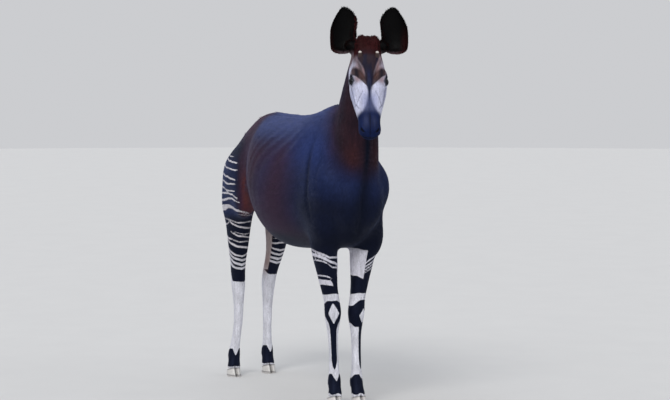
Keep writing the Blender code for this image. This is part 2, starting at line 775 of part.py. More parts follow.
def add_ossicone(bm, s, grow=0.0):
    """A short cone under skin, leaning back, with a blunt bare tip."""
    m = head_axes()
    foot = Vector((s * OSSICONE_AT[0], OSSICONE_AT[1], OSSICONE_AT[2] - 0.014))
    lean = Vector((s * 0.10, -0.62, 0.78)).normalized()
    across = Vector((1, 0, 0)) - lean * lean.x
    across.normalize()
    over = lean.cross(across)
    rings = []
    for h, r in ((-0.001, 0.0130), (0.010, 0.0125), (0.020, 0.0108), (0.029, 0.0085), (0.034, 0.0055)):
        ring = []
        for i in range(10):
            a = 2 * math.pi * i / 10
            high = h + (grow if h > 0 else -grow)
            p = foot + lean * high + (across * math.cos(a) + over * math.sin(a)) * (r + grow)
            ring.append(m @ p)
        rings.append(ring)
    skin_rings(bm, rings)


def eye_centre(s):
    return head_axes() @ Vector((s * EYE_AT[0], EYE_AT[1], EYE_AT[2]))


def add_eye(bm, s, grow=0.0):
    centre = eye_centre(s)
    made = bmesh.ops.create_uvsphere(bm, u_segments=14, v_segments=8, radius=EYE_RADIUS + grow)
    for v in made["verts"]:
        v.co = v.co + centre


def main():
    for obj in list(bpy.data.objects):
        bpy.data.objects.remove(obj, do_unlink=True)
    body = make_body()
    as_cutter(body)
    m = head_axes()
    one = Matrix.Identity(4)
    # the cut behind the jaw: from the nape down to the throat
    along = head_side()
    across = along.cross(Vector((0, 0, 1))).normalized()
    head_cut = axes_at(THROAT, across, along.cross(across), along)
    # the cut at the foot of the neck
    up = Vector((0, -0.80, 0.62)).normalized()
    neck_cut = axes_at(Vector((0, -0.045, 1.330)), Vector((1, 0, 0)), up.cross(Vector((1, 0, 0))), up)

    def regions(g):
        r = {}
        r["head"] = ((head_cut, ((-0.4, 0.4), (-0.60, 0.60), (g, 0.70))),)
        r["neck"] = ((neck_cut, ((-0.4, 0.4), (-0.45, 0.45), (g, 0.90))),)
        for leg, s in (("foreleg_L", 1), ("foreleg_R", -1)):
            x = (s * (0.006 + g), s * 0.40) if s > 0 else (s * 0.40, s * (0.006 + g))
            r[leg] = ((one, (x, (-0.30, 0.150 - g), (-0.02, 0.880 - g))),)
        for leg, s in (("hindleg_L", 1), ("hindleg_R", -1)):
            x = (s * (0.006 + g), s * 0.40) if s > 0 else (s * 0.40, s * (0.006 + g))
            r[leg] = ((one, (x, (0.840 + g, 1.45), (-0.02, 1.000 - g))),)
        return r

    inner = {k: box_on("cut_" + k, *v[0]) for k, v in regions(GAP).items()}
    outer = {k: box_on("clear_" + k, *v[0]) for k, v in regions(-GAP).items()}

    nodes = {}

    def part(name, mat):
        obj = bpy.data.objects.new(name, body.data.copy())
        bpy.context.scene.collection.objects.link(obj)
        obj.data.materials.clear()
        obj.data.materials.append(material(mat))
        nodes[name] = obj
        return obj

    trunk = part("trunk", "hide")
    for k in ("neck", "foreleg_L", "foreleg_R", "hindleg_L", "hindleg_R"):
        boolean(trunk, outer[k], "DIFFERENCE")
    neck = part("neck", "neck_hide")
    boolean(neck, inner["neck"], "INTERSECT")
    boolean(neck, outer["head"], "DIFFERENCE")
    head = part("head", "pale_hair")
    boolean(head, inner["head"], "INTERSECT")

    # feet: each leg stops at its coronet
    for leg in ("foreleg_L", "foreleg_R", "hindleg_L", "hindleg_R"):
        obj = part(leg, "leg_hide")
        boolean(obj, inner[leg], "INTERSECT")
        x, y = hoof_middle(leg)
        tilt = axes_at(
            Vector((x, y, CORONET + GAP)),
            Vector((1, 0, 0)),
            Vector((0, 1, -CORONET_RISE)).normalized(),
            Vector((1, 0, 0)).cross(Vector((0, 1, -CORONET_RISE)).normalized()),
        )
        foot = box_on("coronet_" + leg, tilt, ((-0.2, 0.2), (-0.3, 0.3), (-0.12, 0.0)))
        boolean(obj, foot, "DIFFERENCE")
        for toe, word in ((-1, "right"), (1, "left")):
            bm = bmesh.new()
            add_hoof(bm, x, y, toe)
            hoof = new_object("hoof_%s_%s" % (leg, word), bm)
            hoof.data.set_sharp_from_angle(angle=math.radians(40))
            hoof.data.materials.append(material("horn"))
            nodes[hoof.name] = hoof

    # tail: its root sits in the rump
    bm = bmesh.new()
    add_tail(bm)
    tail = new_object("tail", bm)
    tail.data.materials.append(material("hide"))
    nodes["tail"] = tail
    bm = bmesh.new()
    add_tail(bm, GAP * 1.5)
    boolean(trunk, as_cutter(new_object("clear_tail", bm)), "DIFFERENCE")

    # eyes and the small horns sit in sockets in the head
    for s, word in ((1, "L"), (-1, "R")):
        for name, adder, mat in (("eye_", add_eye, "eye"), ("ossicone_", add_ossicone, "bare_horn")):
            bm = bmesh.new()
            adder(bm, s)
            obj = new_object(name + word, bm)
            obj.data.materials.append(material(mat))
            nodes[obj.name] = obj
            bm = bmesh.new()
            adder(bm, s, GAP * 1.5)
            boolean(head, as_cutter(new_object("clear_" + name + word, bm)), "DIFFERENCE")

    # ears: each stands on the head, cut where it meets it
    grown = bpy.data.objects.new("clear_ears", body.data.copy())
    bpy.context.scene.collection.objects.link(as_cutter(grown))
    lift = grown.modifiers.new("lift", "DISPLACE")
    lift.strength = GAP * 1.5
    lift.mid_level = 0.0
    for s, word in ((1, "L"), (-1, "R")):
        bm = bmesh.new()
        add_ear(bm, s, rows=9, cols=6)
        ear = new_object("ear_" + word, bm)
        ear.data.materials.append(material("ear_hide"))
        boolean(ear, grown, "DIFFERENCE")
        nodes[ear.name] = ear

    okapi = bpy.data.objects.new("okapi", None)
    bpy.context.scene.collection.objects.link(okapi)
    okapi.location = MIDDLE
    for obj in list(bpy.data.objects):
        if obj is not okapi and obj.parent is None:
            obj.parent = okapi
    return nodes


main()
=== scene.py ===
"""The looks of a life-size okapi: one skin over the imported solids, a short
velvety coat of small solid tufts, eyes with lids, horn tips and hooves."""

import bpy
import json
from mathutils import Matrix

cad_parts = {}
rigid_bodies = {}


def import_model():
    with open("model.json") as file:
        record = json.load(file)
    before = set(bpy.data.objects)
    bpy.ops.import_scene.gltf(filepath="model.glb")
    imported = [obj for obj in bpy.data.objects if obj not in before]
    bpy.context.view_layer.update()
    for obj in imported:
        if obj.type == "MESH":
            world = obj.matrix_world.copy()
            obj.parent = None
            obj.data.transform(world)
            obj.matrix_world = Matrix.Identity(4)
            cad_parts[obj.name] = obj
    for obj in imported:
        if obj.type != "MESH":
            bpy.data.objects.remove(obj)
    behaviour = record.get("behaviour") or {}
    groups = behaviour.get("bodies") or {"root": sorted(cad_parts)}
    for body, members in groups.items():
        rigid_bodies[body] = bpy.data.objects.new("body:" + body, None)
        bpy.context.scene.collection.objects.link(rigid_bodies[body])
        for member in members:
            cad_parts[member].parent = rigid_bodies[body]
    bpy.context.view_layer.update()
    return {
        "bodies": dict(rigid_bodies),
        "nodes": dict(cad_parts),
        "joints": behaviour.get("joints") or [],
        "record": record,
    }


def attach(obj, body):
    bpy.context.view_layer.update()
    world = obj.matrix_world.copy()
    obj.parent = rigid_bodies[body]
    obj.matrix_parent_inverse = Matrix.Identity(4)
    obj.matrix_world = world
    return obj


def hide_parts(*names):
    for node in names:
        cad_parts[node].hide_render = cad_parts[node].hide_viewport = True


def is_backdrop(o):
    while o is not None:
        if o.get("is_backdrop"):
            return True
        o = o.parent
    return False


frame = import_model()

import json
import math

import bmesh
import bpy
import numpy as np
from mathutils import Matrix, Vector

# ---------------------------------------------------------------------------
# Named sizes, in metres. The okapi faces -Y, its left side is +X, the ground
# is z = 0.  Distances along the body are first laid out from the line between
# the fore hooves (y = 0) and then moved by MIDDLE, so that the origin lies
# under the middle of the animal.
# ---------------------------------------------------------------------------
MIDDLE = Vector((0.0, -0.43004, 0.0))
FORE_LEFT = (0.0545, -0.025)  # the middle of each foot on the ground: x, y
FORE_RIGHT = (-0.0560, 0.025)
HIND_LEFT = (0.112, 1.200)
HIND_RIGHT = (-0.111, 1.160)
POLL = Vector((-0.017, -0.262, 1.792))  # top of the head, between the ears
HEAD_TURN = math.radians(21.0)  # the head looks this far to the animal's right
HEAD_DROP = math.radians(62.0)  # and its nose points this far below level
HEAD_ROLL = math.radians(-1.0)
EAR_LENGTH = 0.223
EYE_RADIUS = 0.0205
EYE_AT = (0.0725, 0.206, -0.028)  # in the head's own axes: side, along, out
OSSICONE_AT = (0.0385, 0.086, 0.007)


def smooth_table(table, t):
    """Values of a table of rows (t, a, b, ...) at t, on a curve through the rows."""
    rows = table
    n = len(rows)
    if t <= rows[0][0]:
        return list(rows[0][1:])
    if t >= rows[-1][0]:
        return list(rows[-1][1:])
    i = max(k for k in range(n - 1) if rows[k][0] <= t)
    p1, p2 = rows[i], rows[i + 1]
    p0 = rows[i - 1] if i > 0 else p1
    p3 = rows[i + 2] if i + 2 < n else p2
    span = p2[0] - p1[0]
    u = (t - p1[0]) / span
    out = []
    for k in range(1, len(p1)):
        m1 = (p2[k] - p0[k]) / (p2[0] - p0[0]) * span if p2[0] != p0[0] else 0.0
        m2 = (p3[k] - p1[k]) / (p3[0] - p1[0]) * span if p3[0] != p1[0] else 0.0
        out.append(
            (2 * u**3 - 3 * u**2 + 1) * p1[k]
            + (u**3 - 2 * u**2 + u) * m1
            + (3 * u**2 - 2 * u**3) * p2[k]
            + (u**3 - u**2) * m2
        )
    return out


def power(value, p):
    return math.copysign(abs(value) ** (2.0 / p), value)


def new_object(name, bm, smooth=True):
    bm.normal_update()
    bmesh.ops.recalc_face_normals(bm, faces=bm.faces)
    if bm.calc_volume(signed=True) < 0:
        bmesh.ops.reverse_faces(bm, faces=bm.faces)
    mesh = bpy.data.meshes.new(name)
    bm.to_mesh(mesh)
    bm.free()
    if smooth:
        mesh.shade_smooth()
    obj = bpy.data.objects.new(name, mesh)
    bpy.context.scene.collection.objects.link(obj)
    return obj


def skin_rings(bm, rings):
    """Closes a list of rings of points into one lofted body with domed ends."""
    loops = [[bm.verts.new(p) for p in ring] for ring in rings]
    for a, b in zip(loops, loops[1:]):
        for i in range(len(a)):
            j = (i + 1) % len(a)
            bm.faces.new((a[i], a[j], b[j], b[i]))
    for loop in (loops[0], loops[-1]):
        middle = bm.verts.new(sum((v.co for v in loop), Vector()) / len(loop))
        for i in range(len(loop)):
            bm.faces.new((loop[i], loop[(i + 1) % len(loop)], middle))


def oval(centre, side, out, half_side, half_out, half_in, p_out=2.0, p_in=2.0, n=28):
    """One ring: half_out deep on the out side, half_in on the other."""
    ring = []
    for i in range(n):
        a = 2 * math.pi * i / n
        c, s = math.cos(a), math.sin(a)
        p = p_out if s > 0 else p_in
        deep = half_out if s > 0 else half_in
        ring.append(centre + side * (half_side * power(c, p)) + out * (deep * power(s, p)))
    return ring


def limb(bm, stations, side=Vector((1, 0, 0)), steps=5, n=24, p_back=2.1):
    """A tube through stations (x, y, z, half side, half front, half back), its
    rings square to the line through them. Front is the -Y side."""
    rows = [(k,) + tuple(s) for k, s in enumerate(stations)]
    count = (len(stations) - 1) * steps
    centres, sizes = [], []
    for k in range(count + 1):
        x, y, z, a, f, b = smooth_table(rows, k / steps)
        centres.append(Vector((x, y, z)))
        sizes.append((a, f, b))
    rings = []
    for k, c in enumerate(centres):
        along = (centres[min(k + 1, count)] - centres[max(k - 1, 0)]).normalized()
        across = (side - along * side.dot(along)).normalized()
        front = along.cross(across).normalized()
        if front.y > 0:
            front = -front
        a, f, b = sizes[k]
        rings.append(oval(c, across, front, a, f, b, 2.1, p_back, n))
    skin_rings(bm, rings)


def ball(bm, centre, radii, turn=(0, 0, 0), frame=None, n=24):
    """An ellipsoid muscle or bulge, turned by degrees about X, Y and Z."""
    rot = Matrix.Identity(3)
    for axis, deg in zip("XYZ", turn):
        rot = Matrix.Rotation(math.radians(deg), 3, axis) @ rot
    made = bmesh.ops.create_uvsphere(bm, u_segments=n, v_segments=n // 2, radius=1.0)
    for v in made["verts"]:
        p = rot @ Vector((v.co.x * radii[0], v.co.y * radii[1], v.co.z * radii[2]))
        p = p + Vector(centre)
        v.co = frame @ p if frame is not None else p


# --- trunk -----------------------------------------------------------------
# y, top, bottom, half width, height of the widest line, top power, bottom power
TRUNK = (
    (-0.175, 1.160, 0.960, 0.075, 1.060, 2.0, 2.0),
    (-0.140, 1.260, 0.880, 0.120, 1.060, 2.0, 2.0),
    (-0.070, 1.370, 0.800, 0.158, 1.060, 1.9, 2.0),
    (0.020, 1.460, 0.776, 0.182, 1.060, 1.75, 2.0),
    (0.100, 1.494, 0.766, 0.200, 1.060, 1.65, 2.0),
    (0.200, 1.468, 0.765, 0.226, 1.060, 1.7, 2.1),
    (0.330, 1.438, 0.750, 0.254, 1.040, 1.85, 2.1),
    (0.480, 1.424, 0.742, 0.272, 1.055, 1.95, 2.1),
    (0.620, 1.422, 0.750, 0.262, 1.095, 2.0, 1.9),
    (0.740, 1.426, 0.785, 0.220, 1.120, 2.1, 1.9),
    (0.850, 1.434, 0.850, 0.172, 1.150, 1.7, 1.9),
    (0.960, 1.422, 0.920, 0.196, 1.150, 1.4, 2.0),
    (1.060, 1.390, 0.970, 0.178, 1.150, 1.2, 2.0),
    (1.150, 1.352, 1.000, 0.136, 1.140, 1.25, 2.0),
    (1.215, 1.302, 1.030, 0.096, 1.125, 1.5, 2.0),
    (1.258, 1.240, 1.060, 0.055, 1.120, 2.0, 2.0),
)

# --- neck: y, z of its widest line, half side, half front, half back ----------
NECK = (
    (0.020, 1.060, 0.140, 0.200, 0.160),
    (-0.040, 1.150, 0.128, 0.185, 0.190),
    (-0.088, 1.240, 0.112, 0.152, 0.215),
    (-0.120, 1.330, 0.098, 0.124, 0.215),
    (-0.140, 1.420, 0.087, 0.106, 0.200),
    (-0.156, 1.520, 0.072, 0.090, 0.165),
    (-0.176, 1.610, 0.065, 0.084, 0.122),
    (-0.204, 1.690, 0.060, 0.078, 0.088),
    (-0.232, 1.752, 0.056, 0.064, 0.060),
)

# --- the legs' centre lines: height, x, y -------------------------------------
FORE_RIGHT_LINE = (
    (0.040, -0.0520, 0.026),
    (0.060, -0.0500, 0.031),
    (0.088, -0.0455, 0.043),
    (0.122, -0.0415, 0.055),
    (0.160, -0.0430, 0.057),
    (0.230, -0.0455, 0.055),
    (0.360, -0.0530, 0.050),
    (0.455, -0.0550, 0.047),
    (0.520, -0.0620, 0.046),
    (0.590, -0.0760, 0.046),
    (0.680, -0.0880, 0.046),
    (0.770, -0.1020, 0.042),
    (0.850, -0.1100, 0.040),
    (0.950, -0.1170, 0.034),
    (1.040, -0.1220, 0.024),
)
FORE_LEFT_LINE = (
    (0.040, 0.0530, -0.022),
    (0.060, 0.0530, -0.016),
    (0.088, 0.0540, -0.004),
    (0.122, 0.0560, 0.007),
    (0.160, 0.0570, 0.009),
    (0.230, 0.0570, 0.010),
    (0.360, 0.0560, 0.012),
    (0.455, 0.0560, 0.012),
    (0.520, 0.0640, 0.016),
    (0.590, 0.0780, 0.022),
    (0.680, 0.0930, 0.030),
    (0.770, 0.1060, 0.036),
    (0.850, 0.1120, 0.038),
    (0.950, 0.1180, 0.034),
    (1.040, 0.1220, 0.024),
)
HIND_RIGHT_LINE = (
    (0.040, -0.1080, 1.166),
    (0.060, -0.1060, 1.170),
    (0.088, -0.1010, 1.178),
    (0.122, -0.0970, 1.186),
    (0.160, -0.0930, 1.184),
    (0.230, -0.0860, 1.176),
    (0.300, -0.0810, 1.168),
    (0.400, -0.0790, 1.166),
    (0.500, -0.0800, 1.168),
    (0.560, -0.0850, 1.160),
    (0.630, -0.0930, 1.142),
    (0.710, -0.1000, 1.122),
    (0.790, -0.1060, 1.108),
    (0.880, -0.1100, 1.094),
    (1.000, -0.1120, 1.075),
    (1.120, -0.1060, 1.060),
    (1.220, -0.0980, 1.050),
)
HIND_LEFT_LINE = (
    (0.040, 0.1120, 1.206),
    (0.060, 0.1130, 1.211),
    (0.088, 0.1150, 1.220),
    (0.122, 0.1170, 1.228),
    (0.160, 0.1160, 1.226),
    (0.230, 0.1100, 1.214),
    (0.300, 0.1070, 1.206),
    (0.400, 0.1080, 1.202),
    (0.500, 0.1120, 1.200),
    (0.560, 0.1160, 1.186),
    (0.630, 0.1190, 1.152),
    (0.710, 0.1200, 1.120),
    (0.790, 0.1180, 1.104),
    (0.880, 0.1160, 1.090),
    (1.000, 0.1120, 1.075),
    (1.120, 0.1060, 1.060),
    (1.220, 0.0980, 1.050),
)

# --- the legs' girth: height, half side, half front, half back ------------------
FORE_GIRTH = (
    (0.040, 0.0380, 0.0360, 0.0350),
    (0.060, 0.0350, 0.0330, 0.0340),
    (0.088, 0.0310, 0.0310, 0.0340),
    (0.122, 0.0330, 0.0330, 0.0390),
    (0.160, 0.0262, 0.0290, 0.0325),
    (0.230, 0.0238, 0.0270, 0.0300),
    (0.300, 0.0242, 0.0275, 0.0305),
    (0.360, 0.0272, 0.0300, 0.0330),
    (0.410, 0.0355, 0.0370, 0.0420),
    (0.455, 0.0425, 0.0440, 0.0420),
    (0.515, 0.0390, 0.0415, 0.0410),
    (0.570, 0.0410, 0.0430, 0.0460),
    (0.627, 0.0465, 0.0500, 0.0560),
    (0.700, 0.0560, 0.0620, 0.0720),
    (0.770, 0.0615, 0.0760, 0.0900),
    (0.850, 0.0660, 0.0900, 0.1080),
    (0.950, 0.0720, 0.1080, 0.1240),
    (1.040, 0.0680, 0.1180, 0.1200),
)
HIND_GIRTH = (
    (0.040, 0.0385, 0.0360, 0.0350),
    (0.060, 0.0355, 0.0330, 0.0340),
    (0.088, 0.0310, 0.0310, 0.0340),
    (0.122, 0.0330, 0.0330, 0.0390),
    (0.160, 0.0262, 0.0290, 0.0325),
    (0.230, 0.0238, 0.0270, 0.0300),
    (0.300, 0.0245, 0.0285, 0.0310),
    (0.400, 0.0275, 0.0330, 0.0370),
    (0.480, 0.0350, 0.0430, 0.0450),
    (0.540, 0.0370, 0.0480, 0.0480),
    (0.600, 0.0390, 0.0510, 0.0500),
    (0.660, 0.0450, 0.0600, 0.0580),
    (0.720, 0.0520, 0.0740, 0.0720),
    (0.790, 0.0590, 0.0960, 0.0940),
    (0.870, 0.0660, 0.1250, 0.1160),
    (0.960, 0.0760, 0.1480, 0.1340),
    (1.060, 0.0820, 0.1560, 0.1360),
    (1.150, 0.0780, 0.1420, 0.1160),
    (1.220, 0.0600, 0.1050, 0.0850),
)

# --- head, in its own axes: along t from the poll, out from the forehead ------
# t, top, bottom, half width, widest line, top power, bottom power
HEAD = (
    (-0.045, -0.040, -0.105, 0.034, -0.070, 2.0, 2.0),
    (-0.022, -0.012, -0.135, 0.050, -0.066, 2.1, 2.0),
    (0.010, 0.002, -0.158, 0.060, -0.064, 2.3, 2.0),
    (0.050, 0.010, -0.182, 0.067, -0.060, 2.5, 1.9),
    (0.100, 0.013, -0.196, 0.076, -0.052, 2.6, 1.8),
    (0.150, 0.009, -0.190, 0.084, -0.045, 2.6, 1.8),
    (0.195, 0.002, -0.174, 0.087, -0.048, 2.5, 1.8),
    (0.245, -0.005, -0.156, 0.085, -0.060, 2.2, 1.8),
    (0.300, -0.010, -0.137, 0.076, -0.066, 2.0, 1.9),
    (0.350, -0.012, -0.120, 0.063, -0.062, 1.9, 2.0),
    (0.395, -0.011, -0.108, 0.054, -0.056, 2.0, 2.1),
    (0.430, -0.012, -0.101, 0.054, -0.054, 2.2, 2.2),
    (0.460, -0.018, -0.095, 0.053, -0.055, 2.3, 2.3),
    (0.483, -0.030, -0.085, 0.044, -0.056, 2.2, 2.2),
    (0.497, -0.045, -0.070, 0.024, -0.057, 2.0, 2.0),
)


def head_axes():
    """The head's own axes (side to its left, along to its nose, out of its forehead) at the poll."""
    looks = Vector((-math.sin(HEAD_TURN), -math.cos(HEAD_TURN), 0.0))
    up = Vector((0, 0, 1))
    along = looks * math.cos(HEAD_DROP) - up * math.sin(HEAD_DROP)
    out = looks * math.sin(HEAD_DROP) + up * math.cos(HEAD_DROP)
    side = out.cross(along).normalized()
    if side.x < 0:
        side = -side
    roll = Matrix.Rotation(HEAD_ROLL, 3, looks)
    side, along, out = roll @ side, roll @ along, roll @ out
    m = Matrix.Identity(4)
    for col, axis in enumerate((side, along, out)):
        for row in range(3):
            m[row][col] = axis[row]
    for row in range(3):
        m[row][3] = POLL[row]
    return m


def add_trunk(bm):
    ys = np.linspace(TRUNK[0][0], TRUNK[-1][0], 46)
    rings = []
    for y in ys:
        top, bottom, half, wide, p_top, p_low = smooth_table(TRUNK, float(y))
        rings.append(
            oval(
                Vector((0, y, wide)),
                Vector((1, 0, 0)),
                Vector((0, 0, 1)),
                half,
                top - wide,
                wide - bottom,
                p_top,
                p_low,
                48,
            )
        )
    skin_rings(bm, rings)


def add_neck(bm):
    stations = []
    for k, (y, z, a, f, b) in enumerate(NECK):
        bend = (k / (len(NECK) - 1)) ** 2
        stations.append((POLL.x * bend, y, z, a, f, b))
    limb(bm, stations, n=32, p_back=1.7)


def leg_stations(line, girth, step=0.02):
    """Joins a leg's centre line and its girth at even heights, from the top down."""
    rows = []
    top = min(line[-1][0], girth[-1][0])
    count = int(round((top - line[0][0]) / step))
    for k in range(count, -1, -1):
        z = line[0][0] + (top - line[0][0]) * k / count
        x, y = smooth_table(line, z)
        a, f, b = smooth_table(girth, z)
        rows.append((x, y, z, a, f, b))
    return rows


def add_head(bm):
    m = head_axes()
    ts = np.linspace(HEAD[0][0], HEAD[-1][0], 56)
    rings = []
    for t in ts:
        top, bottom, half, wide, p_top, p_low = smooth_table(HEAD, float(t))
        ring = oval(
            Vector((0, t, wide)),
            Vector((1, 0, 0)),
            Vector((0, 0, 1)),
            half,
            top - wide,
            wide - bottom,
            p_top,
            p_low,
            40,
        )
        rings.append([m @ p for p in ring])
    skin_rings(bm, rings)
    for s in (-1, 1):
        # brow, cheek muscle, cheekbone, upper lip, nostril wing
        ball(bm, (s * 0.067, 0.176, -0.017), (0.028, 0.040, 0.022), (0, s * 28, s * -8), m)
        ball(bm, (s * 0.052, 0.135, -0.112), (0.034, 0.072, 0.060), (0, 0, s * 4), m)
        ball(bm, (s * 0.060, 0.245, -0.072), (0.028, 0.085, 0.036), (0, 0, s * 8), m)
        ball(bm, (s * 0.030, 0.452, -0.052), (0.028, 0.036, 0.032), (0, 0, s * 6), m)
    ball(bm, (0, 0.452, -0.092), (0.033, 0.038, 0.018), (0, 0, 0), m)
    # the woolly crest between the ears, in two lobes, and the base of each ear
    for s in (-1, 1):
        ball(bm, (s * 0.031, 0.008, -0.008), (0.027, 0.040, 0.020), (-14, 0, 0), m)
        ball(bm, (s * 0.076, -0.002, -0.062), (0.034, 0.032, 0.036), (0, 0, 0), m)


def add_fore_leg(bm, s):
    line = FORE_RIGHT_LINE if s < 0 else FORE_LEFT_LINE
    limb(bm, leg_stations(line, FORE_GIRTH), steps=1)
    x, y = smooth_table(line, 0.44)
    # the little bone behind the knee joint, and the joint's broad front
    ball(bm, (x + s * 0.006, y + 0.036, 0.432), (0.016, 0.017, 0.030))
    ball(bm, (x, y - 0.014, 0.452), (0.037, 0.033, 0.040))
    # pads behind the fetlock
    x, y = smooth_table(line, 0.116)
    ball(bm, (x, y + 0.028, 0.112), (0.024, 0.018, 0.026), (-20, 0, 0))
    # shoulder blade, upper arm and the muscle behind it, elbow, fore arm
    ball(bm, (s * 0.132, 0.085, 1.220), (0.050, 0.085, 0.175), (-24, -s * 16, 0))
    ball(bm, (s * 0.146, -0.035, 1.075), (0.062, 0.098, 0.130), (14, -s * 4, 0))
    ball(bm, (s * 0.148, 0.085, 1.020), (0.066, 0.110, 0.140), (30, -s * 2, 0))
    ball(bm, (s * 0.130, 0.105, 0.885), (0.044, 0.048, 0.065), (10, 0, 0))
    ball(bm, (s * 0.130, 0.000, 0.900), (0.064, 0.080, 0.110), (-4, s * 4, 0))
    if s > 0:  # the left elbow stands out further
        ball(bm, (0.138, 0.010, 0.830), (0.066, 0.070, 0.110), (-4, 10, 0))
    # breast muscle in front of the shoulder
    ball(bm, (s * 0.064, -0.125, 1.000), (0.070, 0.080, 0.130), (12, 0, 0))


def add_hind_leg(bm, s):
    line = HIND_RIGHT_LINE if s < 0 else HIND_LEFT_LINE
    limb(bm, leg_stations(line, HIND_GIRTH), steps=1)
    # point of the hock and its cord, going up into the calf
    x, y = smooth_table(line, 0.55)
    ball(bm, (x, y + 0.048, 0.560), (0.0175, 0.022, 0.045), (4, 0, 0))
    x, y = smooth_table(line, 0.64)
    ball(bm, (x, y + 0.052, 0.655), (0.0150, 0.020, 0.085), (14, 0, 0))
    x, y = smooth_table(line, 0.116)
    ball(bm, (x, y + 0.028, 0.112), (0.024, 0.018, 0.026), (-20, 0, 0))
    # haunch: thigh, buttock, stifle, calf
    ball(bm, (s * 0.124, 1.010, 1.080), (0.084, 0.165, 0.180), (14, -s * 4, 0))
    ball(bm, (s * 0.096, 1.150, 1.060), (0.078, 0.104, 0.165), (-8, -s * 3, 0))
    ball(bm, (s * 0.146, 0.935, 0.970), (0.060, 0.095, 0.120), (24, 0, 0))
    ball(bm, (s * 0.108, 1.150, 0.945), (0.074, 0.094, 0.155), (-6, 0, 0))


TAIL = (
    (0.0, 1.190, 1.298, 0.024, 0.024, 0.024),
    (0.0, 1.240, 1.266, 0.022, 0.022, 0.022),
    (0.0, 1.278, 1.210, 0.018, 0.018, 0.018),
    (0.002, 1.294, 1.140, 0.015, 0.014, 0.014),
    (0.004, 1.297, 1.050, 0.012, 0.012, 0.012),
    (0.006, 1.295, 0.985, 0.013, 0.013, 0.013),
    (0.008, 1.291, 0.930, 0.020, 0.019, 0.019),
    (0.010, 1.287, 0.870, 0.021, 0.020, 0.020),
    (0.012, 1.284, 0.815, 0.014, 0.013, 0.013),
    (0.013, 1.282, 0.780, 0.005, 0.005, 0.005),
)


def add_tail(bm, grow=0.0):
    stations = [(x, y, z, a + grow, f + grow, b + grow) for x, y, z, a, f, b in TAIL]
    if grow:
        x, y, z, a, f, b = stations[0]
        stations[0] = (x, y - grow, z + grow, a, f, b)
    limb(bm, stations, n=8, steps=2)


# The ear, seen from in front: share of its length from the bottom of the cup,
# middle of the blade outwards from its root, half width, depth of the cup
EAR = (
    (0.000, 0.066, 0.020, 0.006),
    (0.030, 0.066, 0.043, 0.021),
    (0.085, 0.065, 0.056, 0.035),
    (0.200, 0.063, 0.062, 0.046),
    (0.387, 0.062, 0.0635, 0.046),
    (0.516, 0.060, 0.0635, 0.041),
    (0.645, 0.054, 0.061, 0.034),
    (0.774, 0.050, 0.051, 0.026),
    (0.880, 0.050, 0.037, 0.017),
    (0.955, 0.053, 0.021, 0.009),
    (1.000, 0.056, 0.005, 0.003),
)
EAR_CURL = 1.38  # how far round the cup's section bends, either way
EAR_ROOT = (0.0620, 0.0365, -0.0420)  # in the head's axes
EAR_OPEN = -12.0  # degrees that the cup's mouth turns towards the midline
EAR_WALL = 0.0080


def ear_point(side, u, v, lift):
    """A point of the ear's sheet: u from the bottom of its cup to its tip, v from
    its inner (-1) to its outer (+1) edge, lift towards the back of the ear."""
    middle, half, deep = smooth_table(EAR, u)
    a = EAR_CURL * v
    x = middle + half * math.sin(a) / math.sin(EAR_CURL)
    back = deep * (math.cos(a) - math.cos(EAR_CURL)) / (1 - math.cos(EAR_CURL))
    # lift along the normal of the section and of the profile
    nx, nb = math.sin(a) * deep, math.cos(a) * half
    size = math.hypot(nx, nb) or 1.0
    du = smooth_table(EAR, min(u + 0.03, 1.0))[2] - smooth_table(EAR, max(u - 0.03, 0.0))[2]
    slope = du / (0.06 * EAR_LENGTH)
    tip = 1.0 / math.sqrt(1 + slope * slope)
    x += lift * nx / size * tip
    back += lift * nb / size * tip
    up = u * EAR_LENGTH - lift * slope * tip * abs(nb) / size
    return Vector((side * x + 0.008, back, up - 0.008))


def ear_axes(side):
    """The ear's own axes: across (outwards), back of the cup, along to the tip."""
    m = head_axes()
    root = m @ Vector((side * EAR_ROOT[0], EAR_ROOT[1], EAR_ROOT[2]))
    looks = -(m.to_3x3() @ Vector((0, 0, 1)))  # away from where the forehead faces
    looks.z = 0
    back = looks.normalized()
    up = Vector((0, 0, 1))
    out = (m.to_3x3() @ Vector((1, 0, 0))).normalized() * 1.0
    along = (up + back * 0.10).normalized()
    back = (back - along * back.dot(along)).normalized()
    # the cup opens a little outwards
    back = Matrix.Rotation(math.radians(side * EAR_OPEN), 3, along) @ back
    across = along.cross(back).normalized()
    if across.dot(out) < 0:
        across = -across
    r = Matrix.Identity(4)
    for col, axis in enumerate((across, back, along)):
        for row in range(3):
            r[row][col] = axis[row]
    for row in range(3):
        r[row][3] = root[row]
    return r


def add_ear(bm, side, rows=16, cols=12, wall=None):
    """A cupped ear of even wall, as a closed shell."""
    wall = EAR_WALL if wall is None else wall
    m = ear_axes(side)
    grid = {}
    for layer, lift in ((0, 0.0), (1, wall)):
        for i in range(rows + 1):
            u = i / rows
            u = 1 - (1 - u) ** 1.25
            for j in range(cols + 1):
                v = -1 + 2 * j / cols
                thin = 1.0 if layer == 0 else 0.35 + 0.65 * (1 - abs(v) ** 3) * (1 - u**4)
                grid[layer, i, j] = bm.verts.new(m @ ear_point(side, u, v, lift * thin))
    for i in range(rows):
        for j in range(cols):
            for layer in (0, 1):
                bm.faces.new(
                    [
                        grid[layer, i, j],
                        grid[layer, i + 1, j],
                        grid[layer, i + 1, j + 1],
                        grid[layer, i, j + 1],
                    ]
                )
    for i in range(rows):
        for j in (0, cols):
            bm.faces.new([grid[0, i, j], grid[0, i + 1, j], grid[1, i + 1, j], grid[1, i, j]])
    for j in range(cols):
        for i in (0, rows):
            bm.faces.new([grid[0, i, j], grid[0, i, j + 1], grid[1, i, j + 1], grid[1, i, j]])


